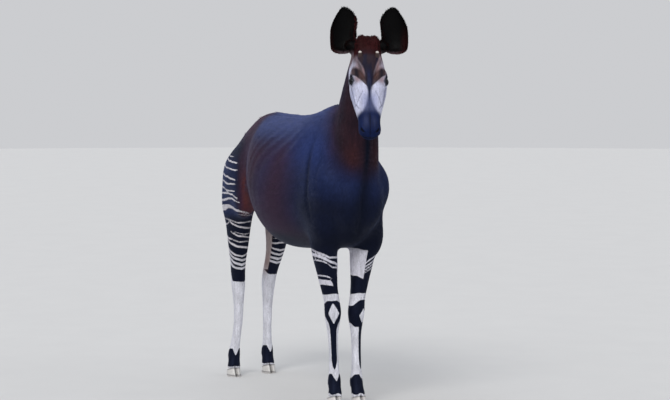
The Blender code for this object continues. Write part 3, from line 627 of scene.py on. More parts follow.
# ---------------------------------------------------------------------------
# Skin and coat: named sizes
# ---------------------------------------------------------------------------
SEED = 11
BODY_VOXEL = 0.0075
SKIN_VOXEL = 0.0034
SMOOTHING = 90
SKIN_SHARE = 0.52
THROAT = Vector((-0.010, -0.246, 1.480))
CORONET = 0.0400
CORONET_RISE = 0.30
HOOF_X = 0.0178
HOOF = (
    (0.000, 0.0165, 0.0470, 0.0340),
    (0.004, 0.0172, 0.0480, 0.0350),
    (0.018, 0.0168, 0.0430, 0.0350),
    (0.034, 0.0158, 0.0350, 0.0330),
    (0.052, 0.0145, 0.0260, 0.0300),
)
FEET = {
    "foreleg_L": FORE_LEFT,
    "foreleg_R": FORE_RIGHT,
    "hindleg_L": HIND_LEFT,
    "hindleg_R": HIND_RIGHT,
}
LINES = {
    "foreleg_L": FORE_LEFT_LINE,
    "foreleg_R": FORE_RIGHT_LINE,
    "hindleg_L": HIND_LEFT_LINE,
    "hindleg_R": HIND_RIGHT_LINE,
}
# how deep the skin lies under the tips of the coat
COAT_BODY, COAT_NECK, COAT_LEG, COAT_FACE, COAT_EAR = 0.0032, 0.0028, 0.0016, 0.0010, 0.0008


def step(x, low, high):
    """0 below low, 1 above high, smooth between."""
    t = np.clip((x - low) / (high - low), 0.0, 1.0)
    return t * t * (3 - 2 * t)


def bump(x, middle, half):
    """1 at the middle, falling smoothly to 0 at half either side."""
    t = np.clip(1 - np.abs(x - middle) / half, 0.0, 1.0)
    return t * t * (3 - 2 * t)


def ripple(co, scale, seed=0.0):
    """A slow, even unrest between -1 and 1, from sums of sines."""
    p = co * scale + seed
    a = np.sin(p[:, 0] * 1.7 + 1.3 * np.sin(p[:, 1] * 1.1 + 0.7)) 
    b = np.sin(p[:, 1] * 2.1 + 1.1 * np.sin(p[:, 2] * 1.3 + 1.9))
    c = np.sin(p[:, 2] * 1.9 + 1.2 * np.sin(p[:, 0] * 1.5 + 2.3))
    return (a + b + c) / 3.0


def unit(v):
    return v / np.maximum(np.linalg.norm(v, axis=1), 1e-9)[:, None]


def get(mesh, layer, name, width):
    data = np.empty(len(layer) * width, dtype=np.float64 if name != "vertices" else np.int64)
    layer.foreach_get(name, data)
    return data.reshape(-1, width) if width > 1 else data


def settle(obj):
    graph = bpy.context.evaluated_depsgraph_get()
    mesh = bpy.data.meshes.new_from_object(obj.evaluated_get(graph))
    obj.modifiers.clear()
    old = obj.data
    obj.data = mesh
    bpy.data.meshes.remove(old)


def voxels(obj, size):
    mod = obj.modifiers.new("union", "REMESH")
    mod.mode = "VOXEL"
    mod.voxel_size = size
    settle(obj)


class Net:
    """The edges of a mesh, for smoothing its points."""

    def __init__(self, mesh):
        ed = np.empty(len(mesh.edges) * 2, dtype=np.int64)
        mesh.edges.foreach_get("vertices", ed)
        ed = ed.reshape(-1, 2)
        self.n = len(mesh.vertices)
        self.ends = np.concatenate((ed[:, 0], ed[:, 1]))
        self.others = np.concatenate((ed[:, 1], ed[:, 0]))
        self.count = np.bincount(self.ends, minlength=self.n).astype(float)

    def mean(self, co):
        return np.stack(
            [
                np.bincount(self.ends, weights=co[self.others, k], minlength=self.n)
                for k in range(co.shape[1])
            ],
            1,
        ) / self.count[:, None]

    def smooth(self, co, weight, passes):
        for _ in range(passes):
            co = co + (self.mean(co) - co) * weight[:, None]
        return co


def head_side():
    looks = Vector((-math.sin(HEAD_TURN * 0.7), -math.cos(HEAD_TURN * 0.7), 0.0))
    return (looks * 0.93 + Vector((0, 0, 0.36))).normalized()


HEAD_M = head_axes()
HEAD_R = np.array(HEAD_M.to_3x3())  # columns: side, along, out
HEAD_O = np.array(HEAD_M.translation)


def in_head(co):
    return (co - HEAD_O) @ HEAD_R


def from_head(local):
    return local @ HEAD_R.T + HEAD_O


def softness(co):
    z = co[:, 2]
    w = np.clip((z - 0.70) / 0.22, 0.05, 1.0)
    middle = from_head(np.array([[0, 0.20, -0.08]]))
    head = np.linalg.norm((co - middle) / np.array((0.20, 0.26, 0.30)), axis=1)
    return np.minimum(w, np.clip((head - 0.80) * 1.2, 0.06, 1.0))


def ear_local(co, side):
    r = ear_axes(side)
    return (co - np.array(r.translation)) @ np.array(r.to_3x3())


# --- which part of the animal a point belongs to --------------------------------
TRUNK_, NECK_, HEAD_, FL_, FR_, HL_, HR_, EAR_LI, EAR_LO, EAR_RI, EAR_RO, TAIL_ = range(12)
LEG_NAMES = {FL_: "foreleg_L", FR_: "foreleg_R", HL_: "hindleg_L", HR_: "hindleg_R"}


def head_share(co):
    """0 on the neck, 1 on the head, over a hand's breadth."""
    f = (co - np.array(THROAT)) @ np.array(head_side())
    return step(f, -0.03, 0.03) * (co[:, 2] > 1.26)


def ear_share(co):
    """How far a point lies on an ear, and which: share, side."""
    best = np.zeros(len(co))
    which = np.zeros(len(co))
    for side in (-1, 1):
        e = ear_local(co, side)
        lateral = (e[:, 0] - 0.008) * side
        inside = (
            (lateral > -0.02)
            & (lateral < 0.145)
            & (e[:, 1] > -0.035)
            & (e[:, 1] < 0.075)
            & (e[:, 2] > -0.060)
            & (e[:, 2] < 0.24)
        )
        h = in_head(co)
        share = np.maximum(step(e[:, 2], -0.018, 0.004), step(e[:, 2], -0.048, -0.030) * step(lateral, 0.028, 0.045)) * inside
        away = step(-h[:, 1], -0.055, -0.020)
        share = share * away
        take = share > best
        best = np.where(take, share, best)
        which = np.where(take, side, which)
    return best, which


def leg_frame(co, leg):
    """Angle about the leg's own line (0 in front, + outwards) and distance from it."""
    line = np.array(LINES[leg])
    z = co[:, 2]
    cx = np.interp(z, line[:, 0], line[:, 1])
    cy = np.interp(z, line[:, 0], line[:, 2])
    s = 1.0 if leg.endswith("L") else -1.0
    out = (co[:, 0] - cx) * s
    front = -(co[:, 1] - cy)
    return np.degrees(np.arctan2(out, front)), np.hypot(out, front)


def region(co, normal=None):
    """The chart that each point lies on."""
    x, y, z = co.T
    r = np.full(len(co), TRUNK_)
    head = head_share(co) > 0.5
    neckline = (co - np.array((0, -0.045, 1.330))) @ np.array(Vector((0, -0.80, 0.62)).normalized())
    r[(neckline > 0) & (z > 1.10)] = NECK_
    r[head] = HEAD_
    fore = (z < 0.80) & (y < 0.45)
    hind = (z < 0.86) & (y > 0.78)
    r[fore & (x > 0)] = FL_
    r[fore & (x <= 0)] = FR_
    r[hind & (x > 0)] = HL_
    r[hind & (x <= 0)] = HR_
    share, which = ear_share(co)
    for side, inner, outer in ((1, EAR_LI, EAR_LO), (-1, EAR_RI, EAR_RO)):
        m = (share > 0.5) & (which == side) & (z > 1.70)
        if normal is not None:
            back = np.array(ear_axes(side).to_3x3())[:, 1]
            facing = normal @ back
            r[m & (facing < 0)] = inner
            r[m & (facing >= 0)] = outer
        else:
            r[m] = outer
    r[(y > 1.262) & (z < 1.25) & (np.abs(x) < 0.05) & (z > 0.7)] = TAIL_
    return r


# ---------------------------------------------------------------------------
# Lie of the coat
# ---------------------------------------------------------------------------
def flow(co, normal):
    x, y, z = co.T
    n = len(co)
    d = np.zeros((n, 3))
    # trunk: backwards, more and more downwards on the flanks and the haunch
    d[:, 1] = 1.0
    d[:, 2] = -0.25 - 0.55 * step(1.30 - z, 0.0, 0.45) - 0.9 * step(y, 0.95, 1.20)
    chest = step(0.10 - y, 0.0, 0.22) * (z > 0.8)
    d = d * (1 - chest)[:, None] + chest[:, None] * np.stack(
        (np.sign(x) * 0.35 * step(np.abs(x), 0.0, 0.03), 0.15 + 0 * x, -0.95 + 0 * x), 1
    )
    neck = step(z, 1.12, 1.32) * step(0.28 - y, 0.0, 0.12)
    d = d * (1 - neck)[:, None] + neck[:, None] * np.stack((0 * x, 0.30 + 0 * x, -0.95 + 0 * x), 1)
    legs = np.maximum(step(0.86 - z, 0.0, 0.14) * (y < 0.5), step(0.98 - z, 0.0, 0.2) * (y > 0.8))
    d = d * (1 - legs)[:, None] + legs[:, None] * np.stack((0 * x, 0.18 + 0 * x, -1.0 + 0 * x), 1)
    h = in_head(co)
    w = head_share(co)
    side = np.sign(h[:, 0]) * step(np.abs(h[:, 0]), 0.0, 0.02)
    hd = np.stack((side * 0.25, -1.0 + 0 * x, -0.55 * step(-h[:, 2], 0.02, 0.09)), 1)
    hd[:, 1] = np.where(h[:, 1] < 0.06, -0.9, -1.0)
    d = d * (1 - w)[:, None] + w[:, None] * (hd @ HEAD_R.T)
    share, which = ear_share(co)
    for s in (-1, 1):
        m = share * (which == s)
        up = np.array(ear_axes(s).to_3x3())[:, 2]
        d = d * (1 - m)[:, None] + m[:, None] * up[None]
    tail = ((y > 1.25) & (np.abs(x) < 0.06) & (z < 1.3) & (z > 0.7)).astype(float)
    d = d * (1 - tail)[:, None] + tail[:, None] * np.array((0, 0.05, -1.0))
    d = d - normal * np.sum(d * normal, 1)[:, None]
    return unit(d)


# ---------------------------------------------------------------------------
# Markings. A stripe is a few rows (angle round the leg, height, half width);
# the values between come from the curve through them.
# ---------------------------------------------------------------------------
HIND_STRIPES = (
    ((40, 1.192, -0.002), (60, 1.190, 0.0022), (100, 1.190, 0.0030), (150, 1.196, 0.0030), (205, 1.20, -0.002)),
    ((24, 1.160, -0.003), (37, 1.160, 0.0036), (70, 1.165, 0.0040), (115, 1.172, 0.0040), (170, 1.176, 0.0035), (212, 1.18, -0.002)),
    ((20, 1.124, -0.003), (37, 1.121, 0.0040), (70, 1.129, 0.0042), (115, 1.133, 0.0042), (170, 1.138, 0.0040), (214, 1.14, -0.002)),
    ((22, 1.069, -0.003), (37, 1.0715, 0.0042), (70, 1.085, 0.0046), (115, 1.089, 0.0046), (170, 1.094, 0.0042), (216, 1.10, -0.002)),
    ((21, 1.049, -0.003), (37, 1.048, 0.0038), (70, 1.046, 0.0046), (115, 1.057, 0.0046), (170, 1.060, 0.0044), (218, 1.06, -0.002)),
    ((20, 1.009, -0.003), (37, 1.011, 0.0040), (70, 1.011, 0.0046), (115, 1.021, 0.0046), (170, 1.024, 0.0046), (220, 1.03, -0.002)),
    ((14, 0.960, -0.003), (24, 0.972, 0.0034), (40, 0.992, 0.0042), (70, 0.9965, 0.0048), (115, 0.992, 0.0050), (170, 0.990, 0.0048), (222, 0.99, -0.002)),
    ((12, 0.946, -0.003), (22, 0.953, 0.0030), (40, 0.971, 0.0046), (70, 0.968, 0.0056), (115, 0.956, 0.0062), (170, 0.950, 0.0060), (225, 0.95, -0.002)),
    ((-2, 0.893, -0.002), (10, 0.899, 0.0034), (37, 0.918, 0.0072), (70, 0.926, 0.0098), (115, 0.914, 0.0150), (170, 0.908, 0.0160), (228, 0.90, -0.002)),
    ((-50, 0.860, -0.002), (-40, 0.863, 0.0022), (-10, 0.882, 0.0026), (20, 0.8867, 0.0022), (30, 0.890, -0.002)),
    ((-75, 0.826, -0.002), (-60, 0.834, 0.0030), (-25, 0.846, 0.0036), (26, 0.839, 0.0034), (68, 0.851, 0.0034), (115, 0.853, 0.0034), (175, 0.856, 0.0040), (228, 0.86, -0.002)),
    ((-75, 0.806, -0.002), (-60, 0.811, 0.0034), (0, 0.810, 0.0052), (26, 0.820, 0.0050), (68, 0.839, 0.0032), (115, 0.825, 0.0040), (175, 0.820, 0.0050), (228, 0.82, -0.002)),
    ((-70, 0.782, -0.001), (-50, 0.782, 0.0028), (0, 0.777, 0.0026), (38, 0.786, 0.0016), (45, 0.786, -0.002)),
    ((-75, 0.750, -0.002), (-64, 0.753, 0.0036), (-20, 0.758, 0.0044), (24, 0.767, 0.0044), (62, 0.786, 0.0036), (75, 0.790, -0.002)),
    ((-75, 0.733, -0.002), (-64, 0.734, 0.0030), (20, 0.734, 0.0030), (60, 0.746, 0.0042), (115, 0.754, 0.0066), (175, 0.758, 0.0070), (228, 0.76, -0.002)),
    ((-75, 0.702, -0.002), (-64, 0.700, 0.0050), (-20, 0.701, 0.0056), (20, 0.7075, 0.0062), (60, 0.7196, 0.0060), (115, 0.738, 0.0042), (175, 0.742, 0.0040), (228, 0.75, -0.002)),
    ((-75, 0.676, -0.002), (-50, 0.672, 0.0046), (0, 0.653, 0.0052), (40, 0.662, 0.0052), (115, 0.692, 0.0060), (175, 0.700, 0.0080), (228, 0.70, 0.002)),
    ((-75, 0.648, 0.002), (-50, 0.643, 0.0054), (0, 0.629, 0.0066), (40, 0.641, 0.0060), (115, 0.671, 0.0076), (175, 0.680, 0.0080), (228, 0.68, 0.002)),
    ((-75, 0.622, 0.003), (-50, 0.618, 0.0062), (0, 0.604, 0.0068), (40, 0.615, 0.0064), (115, 0.646, 0.0090), (175, 0.655, 0.0100), (228, 0.66, 0.004)),
    ((-75, 0.600, 0.003), (-50, 0.596, 0.0052), (0, 0.5840, 0.0058), (40, 0.588, 0.0056), (115, 0.618, 0.0130), (175, 0.622, 0.0160), (228, 0.62, 0.008)),
)
LEFT_FORE_STRIPES = (
    ((-16, 0.696, -0.001), (-9, 0.700, 0.0034), (9, 0.715, 0.0050), (40, 0.735, 0.0052), (64, 0.748, 0.0052), (115, 0.755, 0.0050), (180, 0.756, 0.0050)),
    ((-12, 0.682, -0.001), (-5, 0.684, 0.0034), (20, 0.700, 0.0048), (64, 0.722, 0.0050), (115, 0.730, 0.0050), (180, 0.732, 0.0050)),
    ((-12, 0.666, -0.001), (-5, 0.668, 0.0032), (20, 0.682, 0.0044), (64, 0.704, 0.0044), (115, 0.708, 0.0050), (180, 0.710, 0.0050)),
    ((-12, 0.652, -0.001), (-5, 0.654, 0.0028), (20, 0.664, 0.0038), (64, 0.684, 0.0036), (115, 0.690, 0.0030), (180, 0.690, 0.0040)),
)
FORE_STRIPES = (
    ((-60, 0.733, 0.0050), (-40, 0.7344, 0.0050), (8, 0.7374, 0.0048), (46, 0.758, 0.0050), (115, 0.773, 0.0052), (180, 0.775, 0.0050)),
    ((-60, 0.694, 0.0060), (-45, 0.696, 0.0062), (6, 0.7167, 0.0066), (50, 0.7433, 0.0074), (115, 0.749, 0.0078), (180, 0.748, 0.0080)),
    ((-60, 0.680, 0.0040), (-50, 0.6812, 0.0040), (-5, 0.6871, 0.0036), (18, 0.7048, 0.0036), (38, 0.7167, 0.0040), (60, 0.7226, 0.0042), (115, 0.718, 0.0036), (180, 0.716, 0.0030)),
    ((-6, 0.626, -0.003), (0, 0.629, 0.0020), (18, 0.638, 0.0036), (45, 0.644, 0.0038), (115, 0.6427, 0.0038), (180, 0.641, 0.0030)),
    ((-10, 0.590, -0.004), (0, 0.601, 0.0080), (10, 0.609, 0.0120), (45, 0.6116, 0.0134), (115, 0.6116, 0.0136), (180, 0.612, 0.0130)),
)


def stripe(rows, angle, z):
    """Distance inside (+) or outside (-) the stripe, in metres."""
    a = np.array(rows)
    middle = np.interp(angle, a[:, 0], a[:, 1])
    half = np.interp(angle, a[:, 0], a[:, 2])
    past = np.maximum(a[0, 0] - angle, 0) + np.maximum(angle - a[-1, 0], 0)
    return half - np.abs(z - middle) - 0.0006 * past


def fore_white(co, leg):
    """How far inside (+) or outside (-) the white a point of a fore leg lies."""
    left = leg.endswith("L")
    a, _ = leg_frame(co, leg)
    z = co[:, 2] + 0.0018 * ripple(co, 60.0, 3.0)
    back = np.where(a < -100, a + 360, a)
    edge = -6.0 if left else -44.0
    d = np.full(len(co), -1.0)
    for rows in LEFT_FORE_STRIPES if left else FORE_STRIPES:
        d = np.maximum(d, stripe(rows, back, z))
    # the pale inner side above the dark band
    inner = np.minimum.reduce(
        [
            z - (0.640 - 0.018 * step(a, -60, 10)),
            (0.778 - 0.012 * step(a, -90, 0)) - z,
            (edge - a) * 0.0011,
            (a + 172) * 0.0011,
        ]
    )
    d = np.maximum(d, inner)
    # the white band above the joint
    round_ = step(np.abs(a - (34.0 if left else 18.0)), 26, 92)
    band = np.minimum(0.5510 + 0.003 * np.cos(np.radians(2 * a)) - z, z - (0.5200 - 0.017 * round_ - (0.012 * step(-a, 10, 70) if left else 0.0)))
    d = np.maximum(d, band)
    if left:
        d = np.minimum(d, np.where(a > -5, np.abs(z - 0.5300) - 0.0018, 1.0))
    # a diamond in front of the dark joint
    middle, high, low = (18.0, 0.509, 0.404) if not left else (34.0, 0.480, 0.404)
    t = np.clip((z - low) / (high - low), 0, 1)
    wide = 40.0 * np.minimum(t / 0.50, (1 - t) / 0.50) ** 0.85
    d = np.maximum(d, np.where((z > low) & (z < high), (wide - np.abs(a - middle)) * 0.0007, -1.0))
    # cannon: white, with a dark stripe down its outer front
    foot = 0.117 + 0.034 * np.minimum(np.abs(a - (8 if not left else 46)) / 42.0, 1.0)
    foot = foot - 0.020 * step(np.abs(a - (8 if not left else 46)), 80, 150)
    cannon = np.minimum((0.386 + 0.020 * step(-a, 30, 90) if left else 0.396 + 0.040 * round_) - z, z - foot)
    taper = (31.0 if left else 36.0) * np.sqrt(np.clip((z - 0.176) / 0.045, 0.0, 1.0))
    taper = taper + 8.0 * step(z, 0.37, 0.41)
    dark = (taper - np.abs(a - (33.0 if left else 20.0))) * 0.0005
    cannon = np.minimum(cannon, -dark)
    d = np.maximum(d, cannon)
    # toes
    d = np.maximum(d, 0.056 + 0.004 * np.cos(np.radians(4 * a)) - z)
    return d


def hind_white(co, leg):
    left = leg.endswith("L")
    a, _ = leg_frame(co, leg)
    z = co[:, 2] + 0.0020 * ripple(co, 55.0, 8.0)
    wrap = np.where(a < -100, a + 360, a)
    lift = 0.024 * step(0.80 - z, 0.0, 0.12) if left else 0.0
    d = np.full(len(co), -1.0)
    for rows in HIND_STRIPES:
        d = np.maximum(d, stripe(rows, wrap, z - lift))
    # pale inner side of the thigh and calf
    edge = -46.0 if left else -62.0
    d = np.maximum(d, np.where((a < edge) & (a > -140), np.minimum(np.minimum(edge - a, a + 140) * 0.0012, np.minimum(0.930 - z, z - 0.570)), -1.0))
    # below the hock's dark band all is white down to the fetlock
    top = 0.512 + 0.045 * step(wrap, 80, 120) + 0.02 * step(-a, 20, 80)
    foot = 0.112 + 0.036 * np.minimum(np.abs(a - 8) / 40.0, 1.0) - 0.020 * step(np.abs(a - 8), 80, 150)
    d = np.maximum(d, np.minimum(top + (0.03 if left else 0.0) - z, z - foot))
    d = np.maximum(d, 0.050 + 0.004 * np.cos(np.radians(4 * a)) - z)
    return d


# named colours (linear light)
INK = np.array((0.0038, 0.0044, 0.0120))
NAVY = np.array((0.0125, 0.0205, 0.0740))
# painted highlight: the blue of light caught on the top of the coat and on the crests of its folds
PAINTED_SHEEN_BLUE = np.array((0.0430, 0.0570, 0.1550))
PLUM = np.array((0.0330, 0.0120, 0.0270))
ROSE_BROWN = np.array((0.0480, 0.0190, 0.0290))
MAROON = np.array((0.0230, 0.0085, 0.0100))
RUST = np.array((0.0950, 0.0240, 0.0150))
TAN = np.array((0.2900, 0.1750, 0.1400))
EAR_BLACK = np.array((0.0008, 0.0007, 0.0010))
EAR_RIM = np.array((0.0330, 0.0070, 0.0075))
CREST = np.array((0.0420, 0.0075, 0.0085))
CHEEK = np.array((0.5600, 0.5700, 0.7200))
BROW_PINK = np.array((0.2700, 0.1350, 0.1300))
BROW_DARK = np.array((0.0330, 0.0110, 0.0085))
BLAZE = np.array((0.0560, 0.0700, 0.1650))
MUZZLE = np.array((0.0050, 0.0115, 0.0540))
LIP = np.array((0.0060, 0.0065, 0.0120))
LID = np.array((0.0350, 0.0450, 0.0900))
WHITE = np.array((0.7000, 0.7000, 0.7600))
INNER = np.array((0.5800, 0.5300, 0.5400))


def mix(a, b, t):
    t = np.clip(t, 0, 1)[:, None]
    return a * (1 - t) + b * t


def fan_wave(co):
    """Phase of the folds that fan out downwards and backwards from the withers."""
    y, z = co[:, 1], co[:, 2]
    return (y + (0.25 + 0.42 * step(z, 1.05, 1.35)) * (z - 1.1)) / 0.084 + 0.85 * ripple(co * np.array((1, 1, 0.5)), 5.5, 2.0)


def paint(co, normal):
    """Colour of the coat at each point: tone, colour of white hair, depth inside the white."""
    x, y, z = co.T
    n = len(co)
    slow = ripple(co, 7.0, 1.0)
    fine = ripple(co, 26.0, 5.0)
    tone = np.tile(INK, (n, 1))
    tone = mix(tone, NAVY, 0.8 * step(0.55 - y, 0.0, 0.35) * step(z, 0.80, 0.95))
    tone = mix(tone, PLUM, step(y, 0.08, 0.34) * (1 - step(y, 0.86, 0.96)) * step(1.40 - z, 0.0, 0.20))
    # painted highlight: lighter and bluer along the top of the back, on surfaces that face up and on the side of the
    # shoulder
    tone = mix(tone, NAVY * 1.15, step(z, 1.28, 1.42) * step(y, -0.1, 0.2) * (1 - step(y, 0.70, 0.95)))
    tone = mix(tone, PAINTED_SHEEN_BLUE, 0.85 * step(normal[:, 2], 0.15, 0.75) * step(z, 1.20, 1.38) * (1 - step(y, 0.62, 0.90)))
    tone = mix(tone, NAVY * 2.1, 0.80 * bump(z, 1.27, 0.17) * bump(y, 0.10, 0.24) * step(np.abs(x), 0.08, 0.14))
    tone = mix(tone, INK * 0.7, 0.85 * step(1.13 - z, 0.0, 0.16) * step(0.25 - y, 0.0, 0.2) * (z > 0.75))
    tone = mix(tone, NAVY * 1.1, 0.35 * bump(y + 0.28 * (z - 1.1) + 0.04 * slow, 0.44, 0.11) * bump(z, 1.14, 0.26))
    tone = mix(tone, ROSE_BROWN, step(z, 1.22, 1.36) * step(y, 0.72, 0.95))
    tone = mix(tone, NAVY * 0.9, step(y, 0.90, 0.98) * step(1.22 - z, 0.0, 0.10))
    tone = mix(tone, INK * 0.7, step(0.86 - z, 0.0, 0.06) * (z > 0.6) * bump(y, 0.45, 0.50))
    # painted highlight along the crests of the flank's folds
    fan = bump(y + 0.35 * (z - 1.25), 0.36, 0.34) * bump(z, 1.24, 0.20) * step(np.abs(x), 0.06, 0.12)
    tone = mix(tone, PAINTED_SHEEN_BLUE * 0.85, 0.36 * fan * np.clip(np.sin(fan_wave(co) * 2 * np.pi), 0, 1) ** 2 * step(ripple(co * np.array((1, 1, 0.6)), 4.0, 6.0), -0.6, 0.3))
    # painted shade in the creases behind the shoulder and the upper arm
    crease = np.exp(-(((y - (0.055 + 0.14 * (z - 1.15))) / 0.018) ** 2)) * bump(z, 1.12, 0.30)
    crease = crease + 0.25 * np.exp(-(((y + 0.035 - 0.30 * (z - 1.15)) / 0.016) ** 2)) * bump(z, 1.16, 0.18)
    tone = mix(tone, INK * 0.5, 0.75 * crease * step(np.abs(x), 0.06, 0.10))
    # dark centre of the chest and throat
    tone = mix(tone, INK * 0.5, 0.8 * bump(x, 0.0, 0.06) * step(0.0 - y, 0.02, 0.12) * step(1.35 - z, 0, 0.1))
    # rusty fold of the flank, running down the front of the thigh
    facing = step(-normal[:, 1], -0.05, 0.45) * step(y, 0.80, 0.87) * (1 - step(y, 0.95, 1.02))
    tone = mix(tone, RUST * (1 + 0.3 * fine)[:, None], 0.92 * facing * bump(z, 1.03, 0.25) * step(np.abs(x), 0.05, 0.10) * (1 - step(np.abs(x), 0.165, 0.190)))
    rear = step(y + 0.16 * (z - 1.0), 0.500, 0.700) * (1 - step(y, 0.84, 0.88)) * step(np.abs(x), 0.10, 0.15)
    tone = mix(tone, RUST * (0.50 + 0.2 * fine)[:, None], 0.62 * rear * bump(z, 1.03, 0.30))
    tone = mix(tone, INK * 0.8, 0.85 * step(y, 0.93, 0.99) * step(0.2 - normal[:, 1], 0.0, 0.5) * bump(z, 1.03, 0.22) * step(np.abs(x), 0.12, 0.16))
    # neck
    neckline = (co - np.array((0, -0.045, 1.330))) @ np.array(Vector((0, -0.80, 0.62)).normalized())
    neck = step(neckline, -0.10, 0.06) * step(z, 1.08, 1.22)
    tone = mix(tone, MAROON * (1 + 0.35 * fine)[:, None], neck)
    front = np.interp(z, [1.0, 1.25, 1.5, 1.75], [0.0, -0.004, -0.010, -0.016])
    tone = mix(tone, RUST * 0.55, 0.55 * neck * bump(np.abs(x - front), 0.060, 0.040) * bump(z, 1.235, 0.13) * (normal[:, 1] < 0))
    tone = mix(tone, INK * 0.5, neck * bump(x - front, 0.0, 0.026) * (normal[:, 1] < 0.2) * step(1.62 - z, 0.0, 0.1))
    tone = mix(tone, INK * 0.8, 0.6 * neck * step(normal[:, 1], 0.2, 0.8))
    # lower legs start dark
    tone = mix(tone, INK * 0.8, step(0.82 - z, 0.0, 0.05) * (y < 0.5))
    tone = mix(tone, INK * 0.9, step(0.90 - z, 0.0, 0.05) * (y > 0.8))
    tone = tone * (1 + 0.18 * slow)[:, None]
    white = np.full(n, -0.02)
    pale = np.tile(WHITE, (n, 1))
    for leg in ("foreleg_L", "foreleg_R"):
        s = 1 if leg.endswith("L") else -1
        m = (z < 0.84) & (y < 0.155) & (x * s > 0)
        if m.any():
            white[m] = fore_white(co[m], leg)
    for leg in ("hindleg_L", "hindleg_R"):
        s = 1 if leg.endswith("L") else -1
        m = (z < 1.24) & (y > 0.83) & (x * s > 0)
        if m.any():
            front = 0.865 + 0.05 * step(z[m], 0.90, 1.00) + 0.01 * fine[m]
            white[m] = np.minimum(hind_white(co[m], leg), np.where(z[m] > 0.86, y[m] - front, 1.0) * 0.25)
            a, _ = leg_frame(co[m], leg)
            inner = step(-a, 34, 56) * (a > -150) * step(z[m], 0.50, 0.62)
            tone[m] = mix(tone[m], TAN * 0.40, 0.75 * inner * step(0.96 - z[m], 0.0, 0.10))
            pale[m] = mix(pale[m], TAN, inner * 0.9)
            pale[m] = mix(pale[m], INNER, 0.5 * step(z[m], 0.55, 0.72))
    upper = (z > 0.60) & (z < 0.84) & (y < 0.45)
    pale = mix(pale, INK, 0.85 * step(z, 0.752, 0.780) * (y < 0.30))
    pale[upper] = mix(pale[upper], np.array((0.60, 0.58, 0.66)), 0.5 * np.ones(upper.sum()))
    pale = pale * (1 + 0.06 * fine)[:, None]
    # inner thigh and groin: warm and bare
    groin = step(0.99 - z, 0.0, 0.10) * step(y, 0.80, 0.90) * (np.abs(x) < 0.075) * step(z, 0.84, 0.88)
    tone = mix(tone, TAN * 0.45, groin * 0.8)
    # --- head
    h = in_head(co)
    w = head_share(co)
    if (w > 0).any():
        m = w > 0
        tone[m] = mix(tone[m], face_paint(h[m], slow[m], fine[m]), w[m])
    share, which = ear_share(co)
    m = share > 0
    if m.any():
        ear = np.tile(EAR_BLACK, (m.sum(), 1))
        e = np.zeros((m.sum(), 3))
        back = np.zeros(m.sum())
        for s in (-1, 1):
            k = which[m] == s
            e[k] = ear_local(co[m][k], s) * np.array((s, 1, 1))
            back[k] = normal[m][k] @ np.array(ear_axes(s).to_3x3())[:, 1]
        outer = step(back, -0.1, 0.35)
        low = step(0.15 - e[:, 2], 0.0, 0.14)
        rim = step(e[:, 0], 0.085, 0.120)
        ear = mix(ear, EAR_RIM, np.clip(0.9 * outer * (0.35 + 0.65 * low), 0, 1))
        ear = mix(ear, EAR_RIM * 0.8, 0.85 * low * rim)
        ear = mix(ear, EAR_BLACK, 0.8 * outer * step(e[:, 2], 0.13, 0.20))
        tone[m] = mix(tone[m], ear, share[m])
    tail = (y > 1.262) & (z < 1.30) & (np.abs(x) < 0.05)
    tone[tail] = mix(tone[tail], INK * 0.8, np.ones(tail.sum()))
    return np.clip(tone, 0.0006, 0.95), np.clip(pale, 0.02, 0.95), np.clip(white, -0.02, 0.02)


EYE_AXIS = np.array((0.77, 0.10, 0.63))
EYE_AXIS = EYE_AXIS / np.linalg.norm(EYE_AXIS)
EYE_TILT = 10.0  # degrees: the inner corner lies lower than the outer
LID_LONG, LID_WIDE = 1.02, 0.70  # half opening of the lids, in radians on the ball


def eye_frame(s):
    """Centre and axes of an eye in the head's axes: axis, along (to the nose), across."""
    axis = EYE_AXIS * np.array((s, 1, 1))
    along = np.array((0.0, 1.0, 0.0))
    along = along - axis * (along @ axis)
    along /= np.linalg.norm(along)
    across = np.cross(axis, along)
    if across[2] < 0:
        across = -across
    t = math.radians(EYE_TILT)
    a2 = along * math.cos(t) - across * math.sin(t)
    c2 = across * math.cos(t) + along * math.sin(t)
    return np.array((s * EYE_AT[0], EYE_AT[1], EYE_AT[2])), axis, a2, c2


def almond(a, b):
    """Inside (+) or outside (-) the opening between the lids, from angles on the ball."""
    t = np.clip(np.abs(a) / LID_LONG, 0, 1.5)
    edge = LID_WIDE * np.clip(1 - t**2.0, 0, 1) ** 0.80
    upper = np.where(b > 0, 1.0, 0.82)
    return edge * upper - np.abs(b) + np.minimum(0, (LID_LONG - np.abs(a))) * 1.0


def eye_angles(h, s):
    c, axis, along, across = eye_frame(s)
    v = h - c
    r = np.linalg.norm(v, axis=1)
    u = v / np.maximum(r, 1e-9)[:, None]
    front = u @ axis
    return r, front, np.arctan2(u @ along, np.maximum(front, 1e-6)), np.arctan2(
        u @ across, np.maximum(front, 1e-6)
    )


